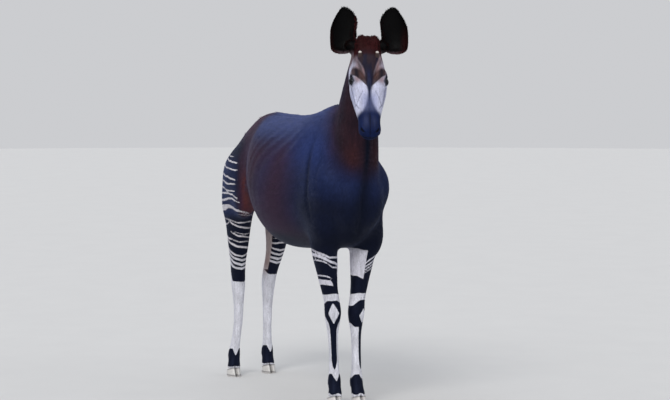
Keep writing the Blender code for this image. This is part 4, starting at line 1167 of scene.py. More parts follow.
def face_paint(h, slow, fine):
    x, t, o = np.abs(h[:, 0]), h[:, 1], h[:, 2]
    warp = 0.004 * fine
    top = step(o, -0.055, -0.020)
    face = np.tile(CHEEK, (len(h), 1))
    # forehead: pink brown, streaked with grey
    line = ripple(h * np.array((1, 0.22, 1)), 120.0, 13.0) * 0.6 + 0.4 * ripple(h * np.array((1, 0.5, 1)), 62.0, 3.0)
    pink = step(0.218 - t + 0.30 * x, 0.0, 0.03) * step(t, 0.035, 0.07) * step(o + warp * 3, -0.048, -0.020)
    face = mix(face, mix(np.tile(BROW_PINK, (len(h), 1)), CHEEK * 0.62, 0.42 + 0.55 * line + 0.3 * step(x, 0.045, 0.075)), pink * 0.92)
    # dark brows, a V from above each eye to the middle
    low = np.interp(x, [0.010, 0.030, 0.045, 0.062, 0.080], [0.238, 0.219, 0.205, 0.192, 0.184])
    high = np.interp(x, [0.010, 0.030, 0.045, 0.062, 0.080], [0.196, 0.168, 0.150, 0.139, 0.140])
    band = step(low - t + warp, -0.003, 0.004) * step(t - high + warp + 0.006 * line, -0.014, 0.016) * step(x, 0.004, 0.012) * step(o, -0.034, -0.014) * step(0.088 - x, 0.0, 0.010)
    face = mix(face, BROW_DARK * (1 + 0.5 * line)[:, None], 0.90 * band)
    face = mix(face, BROW_PINK * 0.55, 0.60 * band * bump(t - (low + high) / 2, -0.004, 0.012) * bump(x, 0.036, 0.018))
    face = mix(face, INK, 0.85 * band * bump(x, 0.060, 0.018) * step(t - high, 0.0, 0.010))
    face = mix(face, INK, 0.65 * bump(t - low, -0.002, 0.005) * band)
    # side of the head behind the eye and the jaw's lower edge: brownish
    face = mix(face, BROW_PINK * 0.50, 0.85 * step(0.115 - t, 0.0, 0.05) * step(x, 0.052, 0.070))
    face = mix(face, MAROON, step(0.045 - t, 0.0, 0.05) * step(-o, 0.03, 0.08))
    face = mix(face, MAROON * 1.2, step(-o, 0.128, 0.165) * step(0.36 - t, 0.0, 0.08))
    # brown cap between the ears and the dark wedge that runs down from it
    cap = step(0.090 - t + warp, 0.0, 0.030) * step(o + 0.06, 0.0, 0.03)
    face = mix(face, CREST * (0.8 + 0.4 * fine)[:, None], cap)
    dark = np.tile(INK * np.array((1.1, 1.0, 1.5)), (len(h), 1))
    dark = mix(dark, BROW_DARK * 0.85, step(line, -0.05, 0.40) * 0.52 * (1 - step(t, 0.19, 0.23)))
    dark = mix(dark, MUZZLE, 0.75 * bump(x, 0.0, 0.016) * step(t, 0.14, 0.19))
    dark = mix(dark, CREST * 0.7, 0.8 * step(0.085 - t, 0.0, 0.02))
    wide = np.interp(t, [0.06, 0.10, 0.135, 0.165, 0.20, 0.232, 0.26, 0.285, 0.298], [0.056, 0.052, 0.037, 0.027, 0.018, 0.0095, 0.0065, 0.0045, 0.0])
    wedge = step(wide - x + 1.6 * warp + 0.003 * line, -0.007, 0.006) * top * (t > 0.05)
    face = mix(face, dark, wedge * 0.97)
    face = mix(face, BROW_DARK, 0.55 * bump(wide - x, -0.006, 0.009) * bump(t, 0.15, 0.09) * top)
    smear = step(wide + 0.020 - x + 0.006 * line, -0.010, 0.012) * step(0.205 - t, 0.0, 0.03) * step(t, 0.05, 0.08) * top
    face = mix(face, BROW_DARK * 0.9, 0.62 * smear * (1 - wedge) * step(line, -0.6, 0.3))
    # painted shade: blue grey on the cheeks beside the blaze and on their outer edges under the eyes
    face = mix(face, BLAZE * 2.6, 0.42 * step(t, 0.245, 0.30) * step(0.055 - x + 0.4 * warp, 0.0, 0.035) * top)
    face = mix(face, BLAZE * 1.7, 0.35 * step(x, 0.062, 0.078) * step(t, 0.22, 0.26))
    for x0, t0, x1, t1 in ((0.082, 0.232, 0.062, 0.326), (0.030, 0.262, 0.046, 0.290), (0.046, 0.290, 0.060, 0.322), (0.060, 0.322, 0.048, 0.345)):
        u = np.clip(((x - x0) * (x1 - x0) + (t - t0) * (t1 - t0)) / ((x1 - x0) ** 2 + (t1 - t0) ** 2), 0, 1)
        away = np.hypot(x - x0 - u * (x1 - x0) + 0.0012 * fine, t - t0 - u * (t1 - t0))
        face = mix(face, BLAZE * 0.7, 0.60 * np.clip(1.3 - away / 0.0022, 0, 1) * (o > -0.10))
    # grey blaze that widens into the muzzle
    wide = np.interp(t, [0.26, 0.30, 0.335, 0.36, 0.385, 0.41], [0.008, 0.012, 0.020, 0.033, 0.058, 0.090])
    blaze = step(wide - x + warp, -0.010, 0.012) * step(t, 0.25, 0.29) * step(o, -0.070, -0.035)
    face = mix(face, BLAZE * 0.75, blaze * 0.93)
    face = mix(face, INK, 0.8 * bump(x, 0.0, 0.006) * step(t, 0.20, 0.24) * (1 - step(t, 0.27, 0.33)) * top)
    muzzle = step(t + 0.25 * (o + 0.05), 0.352, 0.392)
    face = mix(face, MUZZLE * (1 + 0.2 * fine)[:, None], muzzle)
    # painted highlight on the top of the muzzle, either side of its middle
    face = mix(face, BLAZE * 0.8, 0.42 * muzzle * bump(x, 0.020, 0.022) * bump(t, 0.415, 0.055) * top)
    face = mix(face, INK * 0.7, 0.65 * bump(x, 0.0, 0.006) * step(t, 0.35, 0.40) * top)
    # pale patch of the jaw behind the corner of the mouth, edged by a dark line
    patch = bump(t - 0.10 * (o + 0.09), 0.352, 0.040) * bump(o, -0.098, 0.036)
    face = mix(face, CHEEK * 1.05, patch * (1 - step(t, 0.37, 0.40)))
    vein = np.abs(t - 0.318 - 0.4 * (o + 0.07)) + np.abs(o + 0.075) * 0.05
    face = mix(face, BLAZE * 0.8, 0.5 * np.clip(1 - vein / 0.0035, 0, 1) * bump(o, -0.075, 0.040))
    # mouth, lips, nostrils and the rims of the eyes
    mouth = np.abs(o + 0.0855 - 0.10 * (t - 0.385) - 0.02 * step(t, 0.44, 0.49))
    face = mix(face, LIP, np.clip(1.4 - mouth / 0.0045, 0, 1) * step(t, 0.385, 0.40))
    face = mix(face, LIP, 0.75 * step(t, 0.44, 0.47) * step(-o, 0.072, 0.085))
    for s in (-1, 1):
        d = nostril(h, s)[0]
        face = mix(face, LIP * 0.6, np.clip(d * 1.6, 0, 1))
        r, front, a, b = eye_angles(h, s)
        g = almond(a, b)
        near = (front > 0.1) & (r < EYE_RADIUS + 0.018)
        face = mix(face, LID, np.where(near, np.clip(1.30 + g * 2.3, 0, 1), 0) * 0.9)
        face = mix(face, LIP, np.where(near, np.clip(1.45 + g * 5.5, 0, 1), 0))
    return face


NOSTRIL = np.array((0.0335, 0.456, -0.034))


def nostril(h, s):
    """Depth share of the slit, and of the raised wing round it."""
    c = NOSTRIL * np.array((s, 1, 1))
    line = np.array((0.50 * s, -0.70, 0.05))
    line = line / np.linalg.norm(line)
    out = np.array((0.45 * s, 0.42, 0.62))
    out = out / np.linalg.norm(out)
    cross = np.cross(out, line)
    v = h - c
    a, b, n = v @ line, v @ cross, v @ out
    bend = b * s - 0.0030 * np.cos(a / 0.013 * 1.4)
    slit = np.exp(-((a / 0.0125) ** 4) - (bend / 0.0042) ** 2) * (np.abs(n) < 0.025)
    wing = np.exp(-((a / 0.018) ** 4) - ((np.abs(bend) - 0.0085) / 0.0045) ** 2) * (np.abs(n) < 0.025)
    return slit, wing


def sculpt(co, normal, net):
    """Folds, grooves, sockets and lips, in the skin itself."""
    x, y, z = co.T
    h = in_head(co)
    ax, t, o = np.abs(h[:, 0]), h[:, 1], h[:, 2]
    head = head_share(co)
    share, _ = ear_share(co)
    push = np.zeros(len(co))
    # median groove of the chest and the throat, the folds beside them
    chest = step(0.02 - y, 0.0, 0.08) * bump(z, 1.03, 0.26)
    push -= 0.0090 * chest * np.exp(-((x / 0.016) ** 2))
    neck = step(z, 1.20, 1.30) * step(1.62 - z, 0.0, 0.08) * (1 - head)
    front = np.interp(z, [1.0, 1.25, 1.5, 1.75], [0.0, -0.004, -0.010, -0.016])
    push += neck * (normal[:, 1] < 0) * 0.0030 * np.exp(-((x - front) / 0.020) ** 2)
    push -= neck * 0.0040 * np.exp(-((np.abs(x - front) - 0.038) / 0.010) ** 2) * (normal[:, 1] < 0.2)
    crease = np.sin((z + 0.35 * np.abs(x - front) - 0.10 * y) * 2 * np.pi / 0.021)
    push += 0.0011 * crease * bump(z, 1.225, 0.10) * bump(x - front, 0.0, 0.11) * (normal[:, 1] < 0)
    # faint ribs and the line of the flank
    ribs = bump(y, 0.56, 0.26) * bump(z, 1.12, 0.26)
    wave = fan_wave(co)
    push += 0.0020 * ribs * np.sin(wave * 2 * np.pi) * step(ripple(co * np.array((1, 1, 0.4)), 5.0, 9.0), -0.5, 0.6)
    fold = step(0.30 - np.abs(y - 0.42), 0.0, 0.15) * bump(z, 1.28, 0.16)
    push += 0.0016 * fold * np.sin(wave * 2 * np.pi)
    # edge of the shoulder and of the upper arm
    edge = y - (0.055 + 0.14 * (z - 1.15))
    push -= 0.0055 * np.exp(-((edge / 0.015) ** 2)) * bump(z, 1.10, 0.30) * step(np.abs(x), 0.07, 0.10)
    edge = y + 0.035 - 0.30 * (z - 1.15)
    push -= 0.0020 * np.exp(-((edge / 0.012) ** 2)) * bump(z, 1.16, 0.18) * (np.abs(x) > 0.08)
    # front edge of the thigh
    edge = y - (0.872 - 0.20 * np.abs(z - 1.0))
    push -= 0.0040 * np.exp(-((edge / 0.014) ** 2)) * bump(z, 1.06, 0.22) * (np.abs(x) > 0.09)
    # tendons: grooves along the cannons, behind the sides
    for leg, s in (("foreleg_L", 1), ("foreleg_R", -1), ("hindleg_L", 1), ("hindleg_R", -1)):
        m = (z < 0.52) & (x * s > 0) & ((y < 0.5) if leg.startswith("fore") else (y > 0.7))
        a, _ = leg_frame(co, leg)
        groove = np.exp(-(((np.abs(a) - 116) / 13.0) ** 2)) * bump(z, 0.25, 0.13)
        push -= np.where(m, 0.0030 * groove, 0.0)
        # cleft between the toes
        fx, fy = FEET[leg]
        gap = np.exp(-(((x - fx) / 0.0050) ** 2)) * step(0.082 - z, 0.0, 0.035)
        push -= np.where(m & (np.abs(y - fy) < 0.12), 0.0085 * gap, 0.0)
    # face: hollow under the eye, cheekbone ridge, mouth, chin and nostrils
    push += head * 0.0030 * bump(t, 0.235, 0.080) * np.exp(-(((o + 0.052 + 0.10 * (t - 0.23)) / 0.008) ** 2)) * (ax > 0.05)
    push -= head * 0.0030 * bump(t, 0.285, 0.060) * np.exp(-(((o + 0.035) / 0.012) ** 2)) * (ax > 0.04)
    mouth = o + 0.0855 - 0.10 * (t - 0.385) - 0.02 * step(t, 0.44, 0.49)
    push -= head * 0.0038 * np.exp(-((mouth / 0.0032) ** 2)) * step(t, 0.385, 0.405)
    push += head * 0.0016 * np.exp(-(((mouth - 0.009) / 0.006) ** 2)) * step(t, 0.40, 0.43)
    push -= head * 0.0022 * np.exp(-((ax / 0.0030) ** 2)) * step(t, 0.445, 0.47) * (mouth > -0.002)
    for s in (-1, 1):
        slit, wing = nostril(h, s)
        push += head * (-0.0085 * slit + 0.0022 * wing)
    co = co + normal * push[:, None]
    # eyes: the skin bulges over each ball as lids, and sinks behind its open part
    h = in_head(co)
    moved = np.zeros(len(co), dtype=bool)
    for s in (-1, 1):
        c, axis, along, across = eye_frame(s)
        r, front, a, b = eye_angles(h, s)
        near = (r < EYE_RADIUS + 0.014) & (front > 0.0)
        g = almond(a, b)
        lid = np.maximum(r, EYE_RADIUS + 0.0030)
        inside = step(g, -0.06, 0.14)
        target = lid * (1 - inside) + (EYE_RADIUS - 0.0050) * inside
        u = (h - c) / np.maximum(r, 1e-9)[:, None]
        h = np.where(near[:, None], c + u * target[:, None], h)
        # the fold above the upper lid and below the lower one
        far = near & (g < -0.1)
        fold = np.exp(-(((np.abs(g) - 0.36) / 0.07) ** 2)) * np.where(b > 0, 1.0, 0.6)
        h = h - np.where(far, 0.0018 * fold, 0.0)[:, None] * u
        moved |= near
    head_co = from_head(h)
    co = np.where(moved[:, None], head_co, co)
    return co, moved


def coat_depth(co):
    z = co[:, 2]
    d = np.full(len(co), COAT_BODY)
    neck = step(z, 1.15, 1.35) * step(0.3 - co[:, 1], 0.0, 0.2)
    d = d * (1 - neck) + COAT_NECK * neck
    legs = step(0.84 - z, 0.0, 0.12)
    d = d * (1 - legs) + COAT_LEG * legs
    head = head_share(co)
    d = d * (1 - head) + COAT_FACE * head
    share, _ = ear_share(co)
    d = d * (1 - share) + COAT_EAR * share
    return d


# ---------------------------------------------------------------------------
# The unwrap of the skin's own shape: one chart for each part
# ---------------------------------------------------------------------------
CHARTS = {  # left, bottom, width, height
    TRUNK_: (0.010, 0.010, 0.620, 0.500),
    NECK_: (0.650, 0.010, 0.335, 0.180),
    HEAD_: (0.650, 0.205, 0.335, 0.305),
    FL_: (0.010, 0.530, 0.145, 0.290),
    FR_: (0.170, 0.530, 0.145, 0.290),
    HL_: (0.330, 0.530, 0.145, 0.290),
    HR_: (0.490, 0.530, 0.145, 0.290),
    EAR_LI: (0.655, 0.530, 0.155, 0.200),
    EAR_LO: (0.825, 0.530, 0.155, 0.200),
    EAR_RI: (0.655, 0.750, 0.155, 0.200),
    EAR_RO: (0.825, 0.750, 0.155, 0.200),
    TAIL_: (0.010, 0.850, 0.500, 0.060),
}


def unwrap(co, chart):
    """Place on the unwrap, in the unit square, and the width at which it closes."""
    n = len(co)
    u, v = np.zeros(n), np.zeros(n)
    loop = np.zeros(n)
    x, y, z = co.T

    def put(m, a, b, closes=True):
        left, low, wide, high = CHARTS[k]
        u[m] = left + np.clip(a, 0, 1) * wide
        v[m] = low + np.clip(b, 0, 1) * high
        loop[m] = wide if closes else 0.0

    for k in CHARTS:
        m = chart == k
        if not m.any():
            continue
        X, Y, Z = x[m], y[m], z[m]
        if k == TRUNK_:
            a = np.arctan2(X, Z - 1.10) / (2 * np.pi) + 0.5
            r = np.hypot(X, Z - 1.10)
            w = np.tanh((Y - 0.52) / 0.30)
            b = (Y - 0.55 * r * w + 0.20 + 0.45) / (1.27 + 0.65 - 0.0)
            put(m, a, (b - 0.20) / 0.62)
        elif k == NECK_:
            line = np.array([(row[1], row[0]) for row in NECK])
            cy = np.interp(Z, line[:, 0], line[:, 1]) + 0.02
            cx = np.interp(Z, [1.2, 1.75], [0.0, POLL.x])
            a = np.arctan2(X - cx, Y - cy) / (2 * np.pi) + 0.5
            put(m, a, (Z - 0.35 * (Y + 0.1) - 1.10) / 0.72)
        elif k == HEAD_:
            h = in_head(co[m])
            r = np.hypot(h[:, 0], h[:, 2] + 0.070)
            a = np.arctan2(h[:, 0], h[:, 2] + 0.070) / (2 * np.pi) + 0.5
            w = np.tanh((h[:, 1] - 0.30) / 0.12)
            b = h[:, 1] - 0.8 * (r - 0.06) * w
            put(m, a, (b + 0.16) / 0.72)
        elif k in LEG_NAMES:
            a, _ = leg_frame(co[m], LEG_NAMES[k])
            put(m, a / 360 + 0.5, (Z - 0.02) / 0.85)
        elif k == TAIL_:
            a = np.arctan2(X, Y - 1.293) / (2 * np.pi) + 0.5
            left, low, wide, high = CHARTS[k]
            u[m] = left + np.clip((Z - 0.70) / 0.60, 0, 1) * wide
            v[m] = low + np.clip(a, 0, 1) * high
            loop[m] = -high
        else:
            s = 1 if k in (EAR_LI, EAR_LO) else -1
            e = ear_local(co[m], s)
            put(m, (e[:, 0] * s + 0.03) / 0.18, (e[:, 2] + 0.05) / 0.30, closes=False)
    return u, v, loop


def add_map(mesh, u, v):
    layer = mesh.uv_layers.new(name="OFBake")
    data = np.empty(len(u) * 2, dtype=np.float32)
    data[0::2] = u
    data[1::2] = v
    layer.uv.foreach_set("vector", data)
    mesh.uv_layers.active = layer


def store(mesh, tone, pale, white, chance, grain):
    n = len(mesh.vertices)
    for name, value in (("tone", tone), ("pale", pale)):
        layer = mesh.attributes.new(name, "FLOAT_COLOR", "POINT")
        data = np.ones((n, 4), dtype=np.float32)
        data[:, :3] = value
        layer.data.foreach_set("color", data.ravel())
    for name, value in (("white", white), ("chance", chance)):
        layer = mesh.attributes.new(name, "FLOAT", "POINT")
        layer.data.foreach_set("value", np.asarray(value, dtype=np.float32))
    layer = mesh.attributes.new("grain", "FLOAT_VECTOR", "POINT")
    layer.data.foreach_set("vector", np.asarray(grain, dtype=np.float32).ravel())


def grain_of(co):
    """Coordinates squeezed along the lie of the hair, so that noise on them is streaked."""
    x, y, z = co.T
    g = co.copy()
    upright = np.maximum(step(0.90 - z, 0.0, 0.10), step(z, 1.10, 1.30) * step(0.15 - y, 0.0, 0.15))
    lying = 1 - upright
    g[:, 1] = y * (0.16 * lying + 1.0 * upright)
    g[:, 2] = z * (1.0 * lying + 0.16 * upright)
    h = in_head(co) * np.array((1.0, 0.16, 1.0))
    w = head_share(co)[:, None]
    return g * (1 - w) + (h + 5.0) * w


# ---------------------------------------------------------------------------
# Materials
# ---------------------------------------------------------------------------
class Nodes:
    def __init__(self, name):
        self.mat = bpy.data.materials.new(name)
        self.mat.use_nodes = True
        self.tree = self.mat.node_tree
        self.shader = self.tree.nodes["Principled BSDF"]

    def add(self, kind, **values):
        node = self.tree.nodes.new(kind)
        for key, value in values.items():
            if key.startswith("in_"):
                name = key[3:]
                node.inputs[int(name) if name.isdigit() else name].default_value = value
            else:
                setattr(node, key, value)
        return node

    def link(self, a, b):
        self.tree.links.new(a, b)

    def attribute(self, name):
        return self.add("ShaderNodeAttribute", attribute_name=name)

    def math(self, op, a, b=None, c=None):
        node = self.add("ShaderNodeMath", operation=op)
        for i, v in enumerate((a, b, c)):
            if v is None:
                continue
            if isinstance(v, (int, float)):
                node.inputs[i].default_value = v
            else:
                self.link(v, node.inputs[i])
        return node.outputs[0]

    def mixed(self, factor, a, b, blend="MIX"):
        node = self.add("ShaderNodeMix", data_type="RGBA", blend_type=blend)
        for socket, v in ((node.inputs["Factor"], factor), (node.inputs["A"], a), (node.inputs["B"], b)):
            if isinstance(v, (int, float)):
                socket.default_value = v
            elif isinstance(v, tuple):
                socket.default_value = v
            else:
                self.link(v, socket)
        return node.outputs["Result"]

    def noise(self, vector, scale, detail=2.0, rough=0.5):
        node = self.add("ShaderNodeTexNoise")
        node.inputs["Scale"].default_value = scale
        node.inputs["Detail"].default_value = detail
        node.inputs["Roughness"].default_value = rough
        self.link(vector, node.inputs["Vector"])
        return node.outputs["Fac"]


def hair_material(name, skin, sheen):
    m = Nodes(name)
    tone = m.attribute("tone").outputs["Color"]
    pale = m.attribute("pale").outputs["Color"]
    white = m.attribute("white").outputs["Fac"]
    chance = m.attribute("chance").outputs["Fac"]
    grain = m.attribute("grain").outputs["Vector"]
    place = m.add("ShaderNodeTexCoord").outputs["Object"]
    streak = m.noise(grain, 420.0, 3.0, 0.6)
    broad = m.noise(grain, 90.0, 2.0, 0.5)
    # the white's edge is broken by single hairs
    ragged = m.math("MULTIPLY_ADD", m.math("SUBTRACT", streak, 0.5), 0.0035, white)
    inside = m.add("ShaderNodeMapRange", clamp=True)
    m.link(ragged, inside.inputs["Value"])
    inside.inputs["From Min"].default_value = -0.0005
    inside.inputs["From Max"].default_value = 0.0005
    colour = m.mixed(inside.outputs["Result"], tone, pale)
    vary = m.add("ShaderNodeMapRange", clamp=True)
    m.link(m.math("MULTIPLY_ADD", broad, 0.5, m.math("MULTIPLY", streak, 0.5)), vary.inputs["Value"])
    vary.inputs["From Min"].default_value = 0.30
    vary.inputs["From Max"].default_value = 0.70
    vary.inputs["To Min"].default_value = 0.72
    vary.inputs["To Max"].default_value = 1.28
    lively = m.math("MULTIPLY", vary.outputs["Result"], m.math("MULTIPLY_ADD", chance, 0.40, 0.80))
    scale = m.add("ShaderNodeVectorMath", operation="SCALE")
    m.link(colour, scale.inputs[0])
    m.link(lively, scale.inputs["Scale"])
    m.link(scale.outputs[0], m.shader.inputs["Base Color"])
    rough = m.add("ShaderNodeMapRange", clamp=True)
    m.link(streak, rough.inputs["Value"])
    rough.inputs["To Min"].default_value = 0.42
    rough.inputs["To Max"].default_value = 0.66
    m.link(rough.outputs["Result"], m.shader.inputs["Roughness"])
    m.shader.inputs["Specular IOR Level"].default_value = 0.20 if sheen else 0.08
    m.shader.inputs["Specular Tint"].default_value = (0.42, 0.55, 1.0, 1.0) if sheen else (1.0, 1.0, 1.0, 1.0)
    m.shader.inputs["Sheen Weight"].default_value = sheen
    m.shader.inputs["Sheen Roughness"].default_value = 0.42
    m.shader.inputs["Sheen Tint"].default_value = (0.30, 0.44, 1.0, 1.0)
    if skin:
        height = m.math("MULTIPLY_ADD", m.noise(grain, 900.0, 2.0, 0.6), 0.5, streak)
        b = m.add("ShaderNodeBump")
        b.inputs["Strength"].default_value = 0.55
        b.inputs["Distance"].default_value = 0.0010
        m.link(height, b.inputs["Height"])
        m.link(b.outputs["Normal"], m.shader.inputs["Normal"])
    return m.mat


def mesh_of(name, verts, tris):
    mesh = bpy.data.meshes.new(name)
    mesh.vertices.add(len(verts))
    mesh.vertices.foreach_set("co", np.asarray(verts, dtype=np.float32).ravel())
    mesh.loops.add(len(tris) * 3)
    mesh.loops.foreach_set("vertex_index", np.asarray(tris, dtype=np.int32).ravel())
    mesh.polygons.add(len(tris))
    mesh.polygons.foreach_set("loop_start", np.arange(len(tris), dtype=np.int32) * 3)
    mesh.update(calc_edges=True)
    return mesh


def put(name, mesh, mat, nodes=(), slot_name=None):
    obj = bpy.data.objects.new(name, mesh)
    bpy.context.scene.collection.objects.link(obj)
    if mat is not None:
        mesh.materials.clear()
        mesh.materials.append(mat)
    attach(obj, "root")
    if nodes:
        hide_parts(*nodes)
    return obj


SHIFT = np.array(MIDDLE)


# ---------------------------------------------------------------------------
# The skin
# ---------------------------------------------------------------------------
SKIN_TAIL = (
    (0.0, 1.190, 1.298, 0.024, 0.024, 0.024),
    (0.0, 1.240, 1.266, 0.022, 0.022, 0.022),
    (0.0, 1.278, 1.210, 0.017, 0.017, 0.017),
    (0.002, 1.294, 1.140, 0.014, 0.013, 0.013),
    (0.004, 1.297, 1.050, 0.011, 0.011, 0.011),
    (0.006, 1.295, 0.985, 0.0095, 0.0095, 0.0095),
    (0.008, 1.291, 0.930, 0.0085, 0.0085, 0.0085),
    (0.009, 1.289, 0.890, 0.0060, 0.0060, 0.0060),
)


def build_skin():
    bm = bmesh.new()
    add_trunk(bm)
    add_neck(bm)
    add_head(bm)
    for s in (-1, 1):
        add_fore_leg(bm, s)
        add_hind_leg(bm, s)
    body = new_object("body", bm)
    voxels(body, BODY_VOXEL)
    net = Net(body.data)
    co = get(body.data, body.data.vertices, "co", 3)
    weight = softness(co)
    for k in range(SMOOTHING):
        amount = 0.6 * np.clip(weight * SMOOTHING - k, 0.0, 1.0)
        co = co + (net.mean(co) - co) * amount[:, None]
    body.data.vertices.foreach_set("co", co.ravel())
    body.data.update()
    bm = bmesh.new()
    limb(bm, SKIN_TAIL, n=12, steps=4)
    for s in (-1, 1):
        add_ear(bm, s, rows=30, cols=22)
    extra = new_object("extra", bm)
    bm = bmesh.new()
    bm.from_mesh(body.data)
    bm.from_mesh(extra.data)
    mesh = bpy.data.meshes.new("skin")
    bm.to_mesh(mesh)
    bm.free()
    skin = bpy.data.objects.new("skin_work", mesh)
    bpy.context.scene.collection.objects.link(skin)
    for o in (body, extra):
        bpy.data.objects.remove(o, do_unlink=True)
    voxels(skin, SKIN_VOXEL)
    mesh = skin.data
    net = Net(mesh)
    co = get(mesh, mesh.vertices, "co", 3)
    share, _ = ear_share(co)
    co = net.smooth(co, 0.5 * (1 - 0.7 * share), 8)
    mesh.vertices.foreach_set("co", co.ravel())
    mesh.update()
    normal = get(mesh, mesh.vertices, "normal", 3)
    co, moved = sculpt(co, normal, net)
    near = net.mean(moved.astype(float)[:, None])[:, 0] > 0
    co = net.smooth(co, np.where(near, 0.30, 0.0), 2)
    mesh.vertices.foreach_set("co", co.ravel())
    mesh.update()
    normal = get(mesh, mesh.vertices, "normal", 3)
    co = co - normal * (coat_depth(co) * ~moved)[:, None]
    # every leg stops in the tops of its hooves
    for leg, (fx, fy) in FEET.items():
        m = (np.abs(co[:, 0] - fx) < 0.06) & (np.abs(co[:, 1] - fy) < 0.10) & (co[:, 2] < 0.08)
        plane = CORONET - CORONET_RISE * (co[:, 1] - fy) - 0.0030
        co[:, 2] = np.where(m, np.maximum(co[:, 2], plane), co[:, 2])
    mesh.vertices.foreach_set("co", co.ravel())
    mesh.update()
    return skin


def finish_skin(skin, mat):
    mesh = skin.data
    co = get(mesh, mesh.vertices, "co", 3)
    share, _ = ear_share(co)
    spare = (head_share(co) < 0.05) & (share < 0.05) & (co[:, 2] > 0.06)
    group = skin.vertex_groups.new(name="spare")
    group.add(np.nonzero(spare)[0].tolist(), 1.0, "REPLACE")
    skin.modifiers.new("triangles", "TRIANGULATE")
    thin = skin.modifiers.new("thin", "DECIMATE")
    thin.ratio = SKIN_SHARE
    thin.vertex_group = "spare"
    settle(skin)
    skin.vertex_groups.clear()
    mesh = skin.data
    co = get(mesh, mesh.vertices, "co", 3)
    normal = get(mesh, mesh.vertices, "normal", 3)
    tris = get(mesh, mesh.loops, "vertex_index", 1).astype(np.int64).reshape(-1, 3)
    tone, pale, white = paint(co, normal)
    store(mesh, tone, pale, white, np.full(len(co), 0.5), grain_of(co))
    middle = co[tris].mean(1)
    facing = unit(np.cross(co[tris[:, 1]] - co[tris[:, 0]], co[tris[:, 2]] - co[tris[:, 0]]))
    chart = region(middle, facing)
    u, v, loop = unwrap(co[tris].reshape(-1, 3), np.repeat(chart, 3))
    u, v, loop = u.reshape(-1, 3), v.reshape(-1, 3), loop.reshape(-1, 3)
    torn = (u.max(1) - u.min(1)) > 0.5 * np.where(loop[:, 0] > 0, loop[:, 0], 9.0)
    u = np.where(torn[:, None] & (u < u.max(1)[:, None] - 0.5 * np.abs(loop)), u + np.abs(loop), u)
    torn = (v.max(1) - v.min(1)) > 0.5 * np.where(loop[:, 0] < 0, -loop[:, 0], 9.0)
    v = np.where(torn[:, None] & (v < v.max(1)[:, None] - 0.5 * np.abs(loop)), v + np.abs(loop), v)
    add_map(mesh, u.ravel(), v.ravel())
    mesh.materials.clear()
    for each in mat:
        mesh.materials.append(each)
    plain = (chart == HEAD_) | (chart >= EAR_LI) & (chart <= EAR_RO)
    mesh.polygons.foreach_set("material_index", plain.astype(np.int32))
    mesh.shade_smooth()
    return co, normal, tris, chart


# ---------------------------------------------------------------------------
# The coat: small solid tufts that lie along the skin
# ---------------------------------------------------------------------------
TUFT_TRIS = np.array(((0, 3, 1), (0, 2, 3), (4, 1, 3), (4, 3, 2), (0, 1, 2), (4, 2, 1)))
PATCH = np.array(((-0.0015, 0.0), (0.0, -0.0013), (0.0, 0.0013), (0.0002, 0.0), (0.0015, 0.0)))


def tuft_plan(co, chart):
    """How many tufts to a square metre, and their length, width and lift."""
    x, y, z = co.T
    n = len(co)
    many = np.full(n, 24000.0)
    long_ = np.full(n, 0.0190)
    wide = np.full(n, 0.0031)
    lift = np.full(n, 0.0024)

    def blend(share, a, b, c, d):
        nonlocal many, long_, wide, lift
        many = many * (1 - share) + a * share
        long_ = long_ * (1 - share) + b * share
        wide = wide * (1 - share) + c * share
        lift = lift * (1 - share) + d * share

    blend(step(z, 1.15, 1.35) * step(0.3 - y, 0.0, 0.2), 34000, 0.0165, 0.0028, 0.0021)
    blend(step(y, 0.88, 0.95) * step(1.27 - z, 0.0, 0.06), 36000, 0.0120, 0.0023, 0.0015)
    blend(step(0.90 - z, 0.0, 0.15), 60000, 0.0095, 0.0020, 0.0012)
    blend(step(0.16 - z, 0.0, 0.08), 90000, 0.0080, 0.0019, 0.0011)
    head = head_share(co)
    h = in_head(co)
    blend(head, 125000, 0.0075, 0.0015, 0.0008)
    blend(head * step(h[:, 1], 0.33, 0.42), 120000, 0.0042, 0.0011, 0.0005)
    crest = head * step(0.075 - h[:, 1], 0.0, 0.03) * step(h[:, 2] + 0.05, 0.0, 0.02)
    blend(crest, 110000, 0.0150, 0.0022, 0.0036)
    share, _ = ear_share(co)
    blend(share, 75000, 0.0085, 0.0018, 0.0007)
    return many, long_, wide, lift


